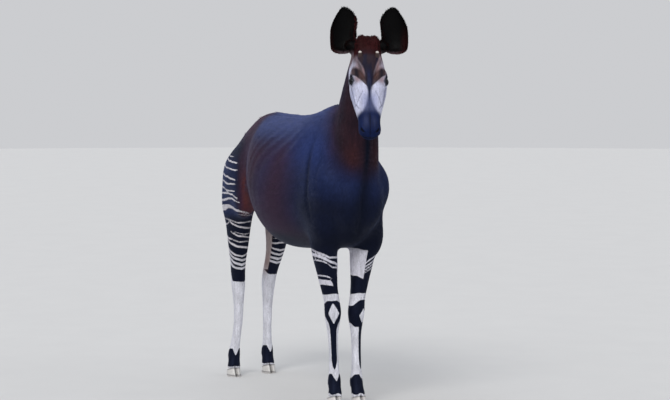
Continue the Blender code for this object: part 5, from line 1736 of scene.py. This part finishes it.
def grow_coat(co, normal, tris, mat):
    rng = np.random.default_rng(SEED)
    a, b, c = co[tris[:, 0]], co[tris[:, 1]], co[tris[:, 2]]
    cross = np.cross(b - a, c - a)
    area = 0.5 * np.linalg.norm(cross, axis=1)
    middle = (a + b + c) / 3
    many, _, _, _ = tuft_plan(middle, None)
    # none inside the lids, the nostrils or under the feet
    h = in_head(middle)
    bare = np.zeros(len(middle), dtype=bool)
    for s in (-1, 1):
        r, front, ea, eb = eye_angles(h, s)
        bare |= (r < EYE_RADIUS + 0.010) & (front > 0) & (almond(ea, eb) > -0.16)
        slit, _ = nostril(h, s)
        bare |= (slit > 0.25) & (head_share(middle) > 0.5)
    for leg, (fx, fy) in FEET.items():
        plane = CORONET - CORONET_RISE * (middle[:, 1] - fy)
        bare |= (
            (np.abs(middle[:, 0] - fx) < 0.06)
            & (np.abs(middle[:, 1] - fy) < 0.10)
            & (middle[:, 2] < plane - 0.001)
        )
    weight = area * many * ~bare
    total = int(weight.sum())
    cumulative = np.cumsum(weight)
    spots = (np.arange(total) + rng.random(total)) / total * cumulative[-1]
    pick = np.searchsorted(cumulative, spots).clip(0, len(tris) - 1)
    u, v = rng.random(total), rng.random(total)
    flip = u + v > 1
    u, v = np.where(flip, 1 - u, u), np.where(flip, 1 - v, v)
    w = 1 - u - v
    roots = a[pick] * w[:, None] + b[pick] * u[:, None] + c[pick] * v[:, None]
    n = unit(
        normal[tris[pick, 0]] * w[:, None]
        + normal[tris[pick, 1]] * u[:, None]
        + normal[tris[pick, 2]] * v[:, None]
    )
    lie = flow(roots, n)
    side = np.cross(n, lie)
    turn = rng.normal(0, 0.16, total)
    lie = unit(lie * np.cos(turn)[:, None] + side * np.sin(turn)[:, None])
    side = np.cross(n, lie)
    _, long_, wide, lift = tuft_plan(roots, None)
    long_ = long_ * rng.uniform(0.75, 1.25, total)
    wide = wide * rng.uniform(0.75, 1.25, total)
    lift = lift * rng.uniform(0.55, 1.25, total)
    chance = rng.random(total)
    chart = region(roots, n)
    start = paint(roots, n)
    end = paint(roots + lie * (0.80 * long_)[:, None], n)
    along = np.array((0.0, 0.42, 0.42, 0.40, 1.0))
    tone, pale = (a[:, None] * (1 - along[None, :, None]) + b[:, None] * along[None, :, None] for a, b in ((start[0], end[0]), (start[1], end[1])))
    white = start[2][:, None] * (1 - along) + end[2][:, None] * along
    # how much the skin curves away under a tuft, from the normals near its tip
    tip = roots + lie * long_[:, None]
    fall = curvature(co, tris, normal, pick, lie) * long_**2 * 0.5
    fall = np.clip(fall, -0.003, 0.004)
    V = np.empty((total, 5, 3))
    L = long_[:, None]
    V[:, 0] = roots - n * 0.0006 - lie * (0.06 * L)
    mid = roots + lie * (0.42 * L) + n * (0.30 * lift - 0.18 * fall)[:, None]
    V[:, 1] = mid + side * (0.5 * wide)[:, None]
    V[:, 2] = mid - side * (0.5 * wide)[:, None]
    V[:, 3] = mid - lie * (0.05 * L) + n * (0.30 * lift + 0.0004)[:, None]
    V[:, 4] = roots + lie * L + n * (lift - fall)[:, None] + side * (rng.normal(0, 0.10, total) * long_)[:, None]
    N = np.empty((total, 5, 3))
    N[:, 0] = n - lie * 0.15
    N[:, 1] = n + side * 0.38
    N[:, 2] = n - side * 0.38
    N[:, 3] = n
    N[:, 4] = n + lie * 0.18
    grain = grain_of(roots)
    uu, vv, _ = unwrap(roots, chart)
    groups = {
        "coat_trunk_left": (chart == TRUNK_) & (roots[:, 0] > 0),
        "coat_trunk_right": (chart == TRUNK_) & (roots[:, 0] <= 0),
        "coat_neck": chart == NECK_,
        "coat_head": chart == HEAD_,
        "coat_ears": chart >= EAR_LI,
        "coat_forelegs": (chart == FL_) | (chart == FR_),
        "coat_hindlegs": (chart == HL_) | (chart == HR_),
    }
    slots = {
        "coat_neck": "neck_hide",
        "coat_head": "face_hide",
        "coat_ears": "ear_hide",
        "coat_forelegs": "leg_hide",
        "coat_hindlegs": "leg_hide",
    }
    for name, mask in groups.items():
        index = np.nonzero(mask)[0]
        limit = 33000
        parts = max(1, math.ceil(len(index) / limit))
        index = index[np.argsort(roots[index, 2], kind="stable")]
        for k, chunk in enumerate(np.array_split(index, parts)):
            title = name if parts == 1 else "%s_%d" % (name, k + 1)
            build_tufts(title, V[chunk], N[chunk], tone[chunk], pale[chunk], white[chunk], chance[chunk], grain[chunk], uu[chunk], vv[chunk], mat[1] if name in ("coat_head", "coat_ears") else mat[0], slots.get(name, "hide"))
    print("TUFTS", total)


def curvature(co, tris, normal, pick, lie):
    """How fast the skin's normal leans along the lie at each root, in 1/m."""
    a, b, c = (co[tris[pick, k]] for k in range(3))
    na, nb, nc = (normal[tris[pick, k]] for k in range(3))
    e1, e2 = b - a, c - a
    d1, d2 = nb - na, nc - na
    # solve lie = p e1 + q e2 in the triangle's plane
    a11, a12, a22 = (e1 * e1).sum(1), (e1 * e2).sum(1), (e2 * e2).sum(1)
    b1, b2 = (e1 * lie).sum(1), (e2 * lie).sum(1)
    det = np.maximum(a11 * a22 - a12 * a12, 1e-16)
    p = (b1 * a22 - b2 * a12) / det
    q = (b2 * a11 - b1 * a12) / det
    dn = d1 * p[:, None] + d2 * q[:, None]
    return np.clip((dn * lie).sum(1), -60, 60)


def build_tufts(name, V, N, tone, pale, white, chance, grain, u, v, mat, slot_name):
    n = len(V)
    tris = (TUFT_TRIS[None] + 5 * np.arange(n)[:, None, None]).reshape(-1, 3)
    mesh = mesh_of(name, V.reshape(-1, 3), tris)
    store(
        mesh,
        tone.reshape(-1, 3),
        pale.reshape(-1, 3),
        white.reshape(-1),
        np.repeat(chance, 5),
        np.repeat(grain, 5, 0),
    )
    corner = tris % 5
    owner = tris // 5
    add_map(
        mesh,
        (u[owner] + PATCH[corner][..., 0]).ravel(),
        (v[owner] + PATCH[corner][..., 1]).ravel(),
    )
    mesh.shade_smooth()
    mesh.normals_split_custom_set_from_vertices(unit(N.reshape(-1, 3)))
    return put(name, mesh, mat, slot_name=slot_name)


# --- longer hair: tail, crest, ear edges, heels, chin, lashes ---------------------
LOCK_AT = (0.0, 0.30, 0.62, 0.86)
LOCK_WIDTH = (0.75, 1.0, 0.80, 0.45)


def build_locks(name, roots, normal, aim, length, width, fall, tone, mat, slot_name, spread=0.15, flat=0.45, white=None, pale=None):
    """Tapering locks of triangular section; each bends from its aim towards fall."""
    n = len(roots)
    rng = np.random.default_rng(SEED + n)
    k = len(LOCK_AT)
    aim = unit(aim + rng.normal(0, spread, (n, 3)))
    end = unit(fall + rng.normal(0, spread, (n, 3)))
    length = length * rng.uniform(0.75, 1.15, n)
    points, line = [], roots - normal * 0.0010
    frames = []
    last = 0.0
    for t in LOCK_AT + (1.0,):
        d = unit(aim * (1 - t) + end * t)
        line = line + d * ((t - last) * length)[:, None]
        last = t
        points.append(line.copy())
        s = unit(np.cross(d, normal + 1e-6))
        frames.append((s, np.cross(s, d)))
    V = np.empty((n, 3 * k + 1, 3))
    for i in range(k):
        s, up = frames[i]
        w = (width * LOCK_WIDTH[i] * 0.5)[:, None]
        V[:, 3 * i] = points[i] + s * w
        V[:, 3 * i + 1] = points[i] - s * w
        V[:, 3 * i + 2] = points[i] + up * w * flat * 2
    V[:, -1] = points[-1]
    tri = [(0, 1, 2)]
    for i in range(k - 1):
        for j in range(3):
            a, b = 3 * i + j, 3 * i + (j + 1) % 3
            c, d = a + 3, b + 3
            tri += [(a, c, b), (b, c, d)]
    top = 3 * (k - 1)
    for j in range(3):
        tri.append((top + j, 3 * k, top + (j + 1) % 3))
    tri = np.array(tri)
    # faces point out of the lock
    a, b, c = (V[:, tri[:, q]] for q in range(3))
    volume = np.einsum("ntk,ntk->n", a, np.cross(b, c))
    count = 3 * k + 1
    tris = tri[None] + count * np.arange(n)[:, None, None]
    tris = np.where((volume < 0)[:, None, None], tris[..., ::-1], tris).reshape(-1, 3)
    mesh = mesh_of(name, V.reshape(-1, 3), tris)
    if pale is None:
        pale = np.tile(WHITE, (n, 1))
    if white is None:
        white = np.full(n, -0.02)
    chance = rng.random(n)
    store(
        mesh,
        np.repeat(tone, count, 0),
        np.repeat(pale, count, 0),
        np.repeat(white, count),
        np.repeat(chance, count),
        grain_of(V.reshape(-1, 3)),
    )
    chart = region(roots, normal)
    u, v, _ = unwrap(roots, chart)
    owner = tris // count
    corner = tris % count
    off = (np.stack((corner % 3, corner // 3), -1) / np.array((2.0, k)) - 0.5) * 0.003
    add_map(mesh, (u[owner] + off[..., 0]).ravel(), (v[owner] + off[..., 1]).ravel())
    mesh.shade_smooth()
    return put(name, mesh, mat, slot_name=slot_name)


def scatter(co, normal, tris, share, count, seed):
    """Roots on the skin where share is above 0, more where it is larger."""
    rng = np.random.default_rng(seed)
    a, b, c = co[tris[:, 0]], co[tris[:, 1]], co[tris[:, 2]]
    area = 0.5 * np.linalg.norm(np.cross(b - a, c - a), axis=1)
    weight = area * share[tris].mean(1)
    cumulative = np.cumsum(weight)
    pick = np.searchsorted(cumulative, rng.random(count) * cumulative[-1]).clip(0, len(tris) - 1)
    u, v = rng.random(count), rng.random(count)
    flip = u + v > 1
    u, v = np.where(flip, 1 - u, u), np.where(flip, 1 - v, v)
    w = 1 - u - v
    p = a[pick] * w[:, None] + b[pick] * u[:, None] + c[pick] * v[:, None]
    n = unit(
        normal[tris[pick, 0]] * w[:, None]
        + normal[tris[pick, 1]] * u[:, None]
        + normal[tris[pick, 2]] * v[:, None]
    )
    return p, n


def grow_locks(co, normal, tris, mat):
    x, y, z = co.T
    # the tail's tassel
    share = ((y > 1.262) & (np.abs(x) < 0.05) & (z < 1.02) & (z > 0.85)).astype(float)
    p, n = scatter(co, normal, tris, share, 620, 21)
    down = np.tile(np.array((0.0, 0.0, -1.0)), (len(p), 1))
    reach = np.clip(p[:, 2] - 0.785, 0.05, 0.13)
    tone = np.tile(INK * 0.9, (len(p), 1)) * np.random.default_rng(3).uniform(0.5, 1.6, (len(p), 1))
    build_locks("tail_tassel", p, n, unit(n * 0.30 + down), reach, np.full(len(p), 0.0042), unit(down - n * 0.10), tone, mat[0], "hide", 0.05)
    # the woolly crest in two lobes
    h = in_head(co)
    share = head_share(co) * step(0.050 - h[:, 1], 0.0, 0.025) * step(h[:, 2] + 0.045, 0.0, 0.02) * step(0.064 - np.abs(h[:, 0]), 0.0, 0.01)
    p, n = scatter(co, normal, tris, share, 1500, 22)
    hp = in_head(p)
    back = unit(n * 0.75 + np.tile(-HEAD_R[:, 1], (len(p), 1)) * 0.8)
    tone = np.tile(CREST * 0.8, (len(p), 1)) * np.random.default_rng(4).uniform(0.5, 1.5, (len(p), 1))
    build_locks("crest", p, n, back, np.full(len(p), 0.0125), np.full(len(p), 0.0026), unit(back - n * 0.5), tone, mat[1], "face_hide", 0.22)
    # fringe inside the ears' edges
    sh, which = ear_share(co)
    share = np.zeros(len(co))
    for s in (-1, 1):
        e = ear_local(co, s) * np.array((s, 1, 1))
        inner = np.array(ear_axes(s).to_3x3())[:, 1]
        edge = step(normal @ inner, -1.1, 0.2) * step(0.2 - normal @ inner, -0.1, 0.2)
        rim = 0.25 + 0.75 * (bump(e[:, 0], 0.008, 0.030) + bump(e[:, 2], 0.02, 0.03))
        share += sh * (which == s) * np.clip(edge, 0, 1) * np.clip(rim, 0, 1)
    p, n = scatter(co, normal, tris, share, 1500, 23)
    aim = np.zeros_like(p)
    for s in (-1, 1):
        m = (p[:, 0] - HEAD_O[0]) * s > 0
        r = np.array(ear_axes(s).to_3x3())
        aim[m] = r[:, 2] * 0.9 - r[:, 1] * 0.25
    tone = np.tile(EAR_RIM * 0.35, (len(p), 1)) * np.random.default_rng(5).uniform(0.3, 1.2, (len(p), 1))
    build_locks("ear_fringe", p, n, unit(aim + n * 0.35), np.full(len(p), 0.0110), np.full(len(p), 0.0016), unit(aim), tone, mat[1], "ear_hide", 0.15)
    # heels: the hair behind each fetlock, and the white fringe over each coronet
    share = np.zeros(len(co))
    brim = np.zeros(len(co))
    for leg, (fx, fy) in FEET.items():
        near = (np.abs(x - fx) < 0.07) & (np.abs(y - fy) < 0.12)
        share += near * bump(z, 0.108, 0.030) * step(normal[:, 1], 0.2, 0.6)
        plane = CORONET - CORONET_RISE * (y - fy)
        brim += near * bump(z - plane, 0.004, 0.008) * (normal[:, 2] > -0.5)
    p, n = scatter(co, normal, tris, share, 700, 24)
    down = np.tile(np.array((0.0, 0.15, -1.0)), (len(p), 1))
    tone, pale, white = paint(p, n)
    build_locks("fetlock_hair", p, n, unit(down + n * 0.35), np.full(len(p), 0.0150), np.full(len(p), 0.0022), unit(down), tone, mat[0], "leg_hide", 0.10, white=white, pale=pale)
    p, n = scatter(co, normal, tris, brim, 2400, 25)
    down = np.tile(np.array((0.0, 0.0, -1.0)), (len(p), 1))
    tone, pale, white = paint(p, n)
    build_locks("coronet_hair", p, n, unit(down + n * 0.30), np.full(len(p), 0.0110), np.full(len(p), 0.0019), unit(down - n * 0.05), tone, mat[0], "leg_hide", 0.10, white=np.full(len(p), 0.01), pale=pale)
    # soft hair under the chin and along the lips
    hm = head_share(co)
    share = hm * step(h[:, 1], 0.40, 0.44) * step(-h[:, 2], 0.085, 0.098)
    p, n = scatter(co, normal, tris, share, 420, 26)
    tone, pale, white = paint(p, n)
    aim = unit(n * 0.5 + np.tile(-HEAD_R[:, 1], (len(p), 1)))
    build_locks("chin_hair", p, n, aim, np.full(len(p), 0.0065), np.full(len(p), 0.0011), aim, tone, mat[1], "face_hide", 0.15)


# ---------------------------------------------------------------------------
# Eyes, lids and lashes
# ---------------------------------------------------------------------------
def add_eyes(lid_mat, hair):
    m = Nodes("eye_wet")
    tone = m.attribute("tone").outputs["Color"]
    speck = m.noise(m.add("ShaderNodeTexCoord").outputs["Object"], 900.0, 3.0, 0.6)
    lively = m.add("ShaderNodeVectorMath", operation="SCALE")
    m.link(tone, lively.inputs[0])
    m.link(m.math("MULTIPLY_ADD", speck, 0.8, 0.6), lively.inputs["Scale"])
    m.link(lively.outputs[0], m.shader.inputs["Base Color"])
    m.shader.inputs["Roughness"].default_value = 0.10
    m.shader.inputs["IOR"].default_value = 1.40
    m.shader.inputs["Specular IOR Level"].default_value = 0.12
    m.shader.inputs["Specular Tint"].default_value = (0.62, 0.74, 1.0, 1.0)
    m.shader.inputs["Coat Weight"].default_value = 0.22
    m.shader.inputs["Coat Roughness"].default_value = 0.02
    for s, word in ((1, "L"), (-1, "R")):
        c, axis, along, across = eye_frame(s)
        bm = bmesh.new()
        made = bmesh.ops.create_uvsphere(bm, u_segments=56, v_segments=36, radius=1.0)
        rows = []
        for v in made["verts"]:
            # the sphere's own pole looks along the eye's axis
            d = np.array(v.co)
            u = axis * d[2] + along * d[0] + across * d[1]
            angle = math.acos(max(-1.0, min(1.0, d[2])))
            bulge = 0.0011 * max(0.0, 1 - (angle / 0.62) ** 2)
            p = c + u * (EYE_RADIUS - 0.0004 + bulge)
            v.co = from_head(p[None])[0] + SHIFT
            pupil = math.hypot(math.tan(min(angle, 1.5)) * d[0] / max(math.hypot(d[0], d[1]), 1e-6) / 0.40, math.tan(min(angle, 1.5)) * d[1] / max(math.hypot(d[0], d[1]), 1e-6) / 0.24)
            iris = np.array((0.0042, 0.0034, 0.0046))
            colour = iris
            if pupil < 1.0:
                colour = np.array((0.0006, 0.0007, 0.0012))
            elif angle > 0.70:
                colour = np.array((0.0040, 0.0044, 0.0080))
            rows.append(colour)
        mesh = bpy.data.meshes.new("eyeball_" + word)
        bm.normal_update()
        bmesh.ops.recalc_face_normals(bm, faces=bm.faces)
        bm.to_mesh(mesh)
        bm.free()
        mesh.shade_smooth()
        layer = mesh.attributes.new("tone", "FLOAT_COLOR", "POINT")
        data = np.ones((len(rows), 4), dtype=np.float32)
        data[:, :3] = np.array(rows)
        layer.data.foreach_set("color", data.ravel())
        put("eyeball_" + word, mesh, m.mat, ("eye_" + word,), "eye")
        # the rims of the lids: a tube along the edge of the opening
        steps, ring = 72, 8
        verts = []
        for i in range(steps):
            t = 2 * math.pi * i / steps
            a = LID_LONG * math.cos(t)
            b = LID_WIDE * max(0.0, 1 - math.cos(t) ** 2) ** 0.80
            b = b if math.sin(t) > 0 else -b * 0.82
            u = axis + along * math.tan(a) * 0.985 + across * math.tan(b)
            u /= np.linalg.norm(u)
            verts.append((u, math.sin(t)))
        V = []
        for i in range(steps):
            u, up = verts[i]
            before, after = verts[i - 1][0], verts[(i + 1) % steps][0]
            line = after - before
            line /= np.linalg.norm(line)
            wide = np.cross(line, u)
            r = 0.0019 if up > 0 else 0.0016
            base = c + u * (EYE_RADIUS + 0.0014)
            for j in range(ring):
                q = 2 * math.pi * j / ring
                V.append(base + (u * math.cos(q) * 0.9 + wide * math.sin(q) * 1.15) * r)
        V = from_head(np.array(V)) + SHIFT
        T = []
        for i in range(steps):
            for j in range(ring):
                a0, b0 = i * ring + j, i * ring + (j + 1) % ring
                a1, b1 = (a0 + ring) % (steps * ring), ((i + 1) % steps) * ring + (j + 1) % ring
                T += [(a0, a1, b0), (b0, a1, b1)]
        T = np.array(T)
        tri = V[T]
        if np.einsum("tk,tk->", tri[:, 0], np.cross(tri[:, 1], tri[:, 2])) < 0:
            T = T[:, ::-1]
        mesh = mesh_of("lids_" + word, V, T)
        mesh.shade_smooth()
        put("lids_" + word, mesh, lid_mat, slot_name="face_hide")
        # lashes on the upper lid
        roots, aims = [], []
        for i in range(4, steps // 2 - 3):
            u, up = verts[i]
            roots.append(c + u * (EYE_RADIUS + 0.0028))
            aims.append(u * 0.75 + across * 0.65 - along * 0.0)
        roots = from_head(np.array(roots)) + SHIFT
        aims = np.array(aims) @ HEAD_R.T
        norm = unit(aims)
        n = len(roots)
        obj = build_locks(
            "lashes_" + word, roots - SHIFT, norm, norm, np.full(n, 0.0095), np.full(n, 0.0007),
            unit(norm + np.tile(np.array((0.0, 0.0, 0.5)), (n, 1))), np.tile(LIP * 0.4, (n, 1)), hair, "face_hide", 0.08, 0.5,
        )
        shift_mesh(obj.data)


def shift_mesh(mesh):
    co = get(mesh, mesh.vertices, "co", 3) + SHIFT
    mesh.vertices.foreach_set("co", co.ravel())
    mesh.update()


# ---------------------------------------------------------------------------
# Ossicones and hooves
# ---------------------------------------------------------------------------
def add_ossicones():
    m = Nodes("ossicone_skin")
    tone = m.attribute("tone").outputs["Color"]
    place = m.add("ShaderNodeTexCoord").outputs["Object"]
    fine = m.noise(place, 700.0, 3.0, 0.6)
    lively = m.add("ShaderNodeVectorMath", operation="SCALE")
    m.link(tone, lively.inputs[0])
    m.link(m.math("MULTIPLY_ADD", fine, 0.7, 0.65), lively.inputs["Scale"])
    m.link(lively.outputs[0], m.shader.inputs["Base Color"])
    m.shader.inputs["Roughness"].default_value = 0.50
    b = m.add("ShaderNodeBump")
    b.inputs["Strength"].default_value = 0.5
    b.inputs["Distance"].default_value = 0.0006
    m.link(fine, b.inputs["Height"])
    m.link(b.outputs["Normal"], m.shader.inputs["Normal"])
    profile = ((-0.001, 0.0128), (0.006, 0.0126), (0.012, 0.0121), (0.020, 0.0106), (0.026, 0.0090), (0.030, 0.0074), (0.033, 0.0052), (0.0345, 0.0026))
    for s, word in ((1, "L"), (-1, "R")):
        foot = Vector((s * OSSICONE_AT[0], OSSICONE_AT[1], OSSICONE_AT[2] - 0.014))
        lean = Vector((s * 0.10, -0.62, 0.78)).normalized()
        across = Vector((1, 0, 0)) - lean * lean.x
        across.normalize()
        over = lean.cross(across)
        rings, shades = [], []
        rows = 22
        for k in range(rows + 1):
            h = profile[0][0] + (profile[-1][0] - profile[0][0]) * k / rows
            r = smooth_table(profile, h)[0]
            ring = []
            for i in range(28):
                a = 2 * math.pi * i / 28
                rr = r * (1 + 0.03 * math.sin(3 * a + 40 * h) + 0.02 * math.sin(7 * a))
                p = foot + lean * h + (across * math.cos(a) + over * math.sin(a)) * rr
                ring.append(HEAD_M @ p + MIDDLE)
                t = min(max((h - 0.0265) / 0.004, 0), 1)
                shades.append(np.array((0.030, 0.011, 0.010)) * (1 - t) + np.array((0.55, 0.50, 0.47)) * t)
            rings.append(ring)
        bm = bmesh.new()
        skin_rings(bm, rings)
        for end in (0, -1):
            shades.append(shades[end])
        obj = new_object("ossicone_cone_" + word, bm)
        mesh = obj.data
        bpy.data.objects.remove(obj)
        layer = mesh.attributes.new("tone", "FLOAT_COLOR", "POINT")
        data = np.ones((len(mesh.vertices), 4), dtype=np.float32)
        data[:, :3] = np.array(shades)[: len(mesh.vertices)]
        layer.data.foreach_set("color", data.ravel())
        put("ossicone_cone_" + word, mesh, m.mat, ("ossicone_" + word,), "bare_horn")


def add_hooves():
    m = Nodes("hoof_horn")
    tone = m.attribute("tone").outputs["Color"]
    place = m.add("ShaderNodeTexCoord").outputs["Object"]
    squeeze = m.add("ShaderNodeMapping")
    squeeze.inputs["Scale"].default_value = (1.0, 1.0, 7.0)
    m.link(place, squeeze.inputs["Vector"])
    rings = m.noise(squeeze.outputs["Vector"], 90.0, 2.0, 0.5)
    fine = m.noise(place, 420.0, 3.0, 0.6)
    lively = m.add("ShaderNodeVectorMath", operation="SCALE")
    m.link(tone, lively.inputs[0])
    m.link(m.math("MULTIPLY_ADD", rings, 0.55, m.math("MULTIPLY_ADD", fine, 0.5, 0.48)), lively.inputs["Scale"])
    m.link(lively.outputs[0], m.shader.inputs["Base Color"])
    m.shader.inputs["Roughness"].default_value = 0.38
    b = m.add("ShaderNodeBump")
    b.inputs["Strength"].default_value = 0.5
    b.inputs["Distance"].default_value = 0.0010
    m.link(rings, b.inputs["Height"])
    m.link(b.outputs["Normal"], m.shader.inputs["Normal"])
    count, rows = 44, 16
    for leg, (fx, fy) in FEET.items():
        for toe, word in ((-1, "right"), (1, "left")):
            loops, shades = [], []
            for k in range(rows + 1):
                share = k / rows
                ring = []
                for i in range(count):
                    a = 2 * math.pi * i / count
                    c, s = math.cos(a), math.sin(a)
                    z = 0.0
                    for _ in range(3):
                        half, front, back = smooth_table(HOOF, z)
                        deep = front if s > 0 else back
                        narrow = 1 - 0.42 * max(s, 0.0) ** 2
                        side = half * power(c, 2.4) * narrow
                        if side * toe < 0:
                            side *= 0.86
                        py = fy - deep * power(s, 2.2)
                        z = share * (CORONET - CORONET_RISE * (py - fy) - 0.0003)
                    ridge = 1 - 0.010 * (0.5 + 0.5 * math.cos(z * 2 * math.pi / 0.0065)) * min(share * 6, 1)
                    edge = 1 - 0.035 * max(0.0, 1 - z / 0.0025)
                    px = fx + toe * HOOF_X + side * ridge * edge - toe * 0.006 * max(s, 0.0) ** 2
                    py = fy - deep * power(s, 2.2) * ridge * edge
                    ring.append(Vector((px, py, z)) + MIDDLE)
                    horn = np.array((0.56, 0.545, 0.53))
                    t = min(max((z - 0.004) / 0.004, 0), 1) * min(max((0.013 - z) / 0.004, 0), 1)
                    horn = horn * (1 - t) + np.array((0.16, 0.15, 0.16)) * t
                    dark = min(max((share - 0.82) / 0.12, 0), 1)
                    horn = horn * (1 - dark) + np.array((0.24, 0.23, 0.23)) * dark
                    shades.append(horn)
                loops.append(ring)
            bm = bmesh.new()
            rings_v = [[bm.verts.new(p) for p in ring] for ring in loops]
            for a, b2 in zip(rings_v, rings_v[1:]):
                for i in range(count):
                    j = (i + 1) % count
                    bm.faces.new((a[i], a[j], b2[j], b2[i]))
            bm.faces.new(list(reversed(rings_v[0])))
            bm.faces.new(rings_v[-1])
            name = "horn_%s_%s" % (leg, word)
            obj = new_object(name, bm)
            mesh = obj.data
            bpy.data.objects.remove(obj)
            mesh.set_sharp_from_angle(angle=math.radians(50))
            layer = mesh.attributes.new("tone", "FLOAT_COLOR", "POINT")
            data = np.ones((len(mesh.vertices), 4), dtype=np.float32)
            data[:, :3] = np.array(shades)
            layer.data.foreach_set("color", data.ravel())
            put(name, mesh, m.mat, ("hoof_%s_%s" % (leg, word),), "hoof_horn")


def lid_material():
    m = Nodes("lid_skin")
    place = m.add("ShaderNodeTexCoord").outputs["Object"]
    fine = m.noise(place, 600.0, 3.0, 0.6)
    colour = m.mixed(fine, (0.004, 0.005, 0.009, 1.0), (0.030, 0.038, 0.070, 1.0))
    m.link(colour, m.shader.inputs["Base Color"])
    m.shader.inputs["Roughness"].default_value = 0.32
    b = m.add("ShaderNodeBump")
    b.inputs["Strength"].default_value = 0.4
    b.inputs["Distance"].default_value = 0.0004
    m.link(fine, b.inputs["Height"])
    m.link(b.outputs["Normal"], m.shader.inputs["Normal"])
    return m.mat


# ---------------------------------------------------------------------------
# Stage, light and camera
# ---------------------------------------------------------------------------
def set_stage():
    m = Nodes("floor_pale")
    place = m.add("ShaderNodeTexCoord").outputs["Object"]
    mottle = m.noise(place, 3.0, 4.0, 0.6)
    m.link(m.mixed(mottle, (0.545, 0.54, 0.535, 1.0), (0.585, 0.58, 0.57, 1.0)), m.shader.inputs["Base Color"])
    m.shader.inputs["Roughness"].default_value = 0.85
    bm = bmesh.new()
    ring = [bm.verts.new((30 * math.cos(a), 30 * math.sin(a), -0.0002)) for a in np.linspace(0, 2 * math.pi, 65)[:-1]]
    bm.faces.new(ring)
    mesh = bpy.data.meshes.new("floor")
    bm.to_mesh(mesh)
    bm.free()
    mesh.materials.append(m.mat)
    floor = bpy.data.objects.new("floor", mesh)
    bpy.context.scene.collection.objects.link(floor)
    floor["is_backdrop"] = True

    world = bpy.data.worlds.new("studio")
    bpy.context.scene.world = world
    world.use_nodes = True
    back = world.node_tree.nodes["Background"]
    back.inputs["Color"].default_value = (0.86, 0.87, 0.90, 1.0)
    back.inputs["Strength"].default_value = 0.70

    def sun(name, place, strength, spread, colour):
        data = bpy.data.lights.new(name, "SUN")
        data.energy = strength
        data.angle = math.radians(spread)
        data.color = colour
        obj = bpy.data.objects.new(name, data)
        bpy.context.scene.collection.objects.link(obj)
        obj.rotation_euler = Vector(place).to_track_quat("Z", "Y").to_euler()

    sun("key", (-0.75, -0.75, 0.95), 1.55, 30, (1.0, 0.985, 0.96))
    sun("fill", (0.8, -0.9, 0.45), 0.30, 40, (0.90, 0.95, 1.0))
    sun("sky", (-0.15, 0.35, 1.0), 0.75, 60, (0.80, 0.88, 1.0))

    data = bpy.data.cameras.new("camera")
    data.sensor_width = 36.0
    data.lens = 2244.0 / 670.0 * 36.0
    data.clip_end = 100.0
    cam = bpy.data.objects.new("camera", data)
    bpy.context.scene.collection.objects.link(cam)
    right, look = Vector((0.901, -0.434, 0)), Vector((0.434, 0.901, 0))
    spot = right * -0.059 + look * -11.0 + MIDDLE
    cam.location = (spot.x, spot.y, 1.735)
    cam.rotation_euler = (math.pi / 2 - math.atan(147 / 2244.0), 0.0, math.atan2(-look.x, look.y))
    bpy.context.scene.camera = cam
    bpy.context.scene.view_settings.view_transform = "Standard"


def shift_all():
    """Everything was laid out from the line between the fore hooves."""
    for obj in bpy.data.objects:
        if obj.type == "MESH" and obj.name.startswith(("skin", "coat_", "tail_tassel", "crest", "ear_fringe", "fetlock_hair", "coronet_hair", "chin_hair")):
            custom = obj.name.startswith("coat_")
            shift_mesh(obj.data)


set_stage()
SKIN_MAT = (hair_material("coat_skin", True, 0.085), hair_material("coat_skin_plain", True, 0.0))
HAIR_MAT = (hair_material("coat_hair", False, 0.085), hair_material("coat_hair_plain", False, 0.0))
work = build_skin()
co, normal, tris, chart = finish_skin(work, SKIN_MAT)
FLESH = ("trunk", "neck", "head", "tail", "foreleg_L", "foreleg_R", "hindleg_L", "hindleg_R", "ear_L", "ear_R")
mesh = work.data
bpy.data.objects.remove(work)
mesh.name = "skin"
put("skin", mesh, None, FLESH, "hide")
grow_coat(co, normal, tris, HAIR_MAT)
grow_locks(co, normal, tris, HAIR_MAT)
shift_all()
add_eyes(lid_material(), HAIR_MAT[1])
add_ossicones()
add_hooves()
count = 0
for obj in bpy.data.objects:
    if obj.type == "MESH" and not obj.hide_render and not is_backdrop(obj):
        obj.data.calc_loop_triangles()
        count += len(obj.data.loop_triangles)
print("TRIANGLES", count)
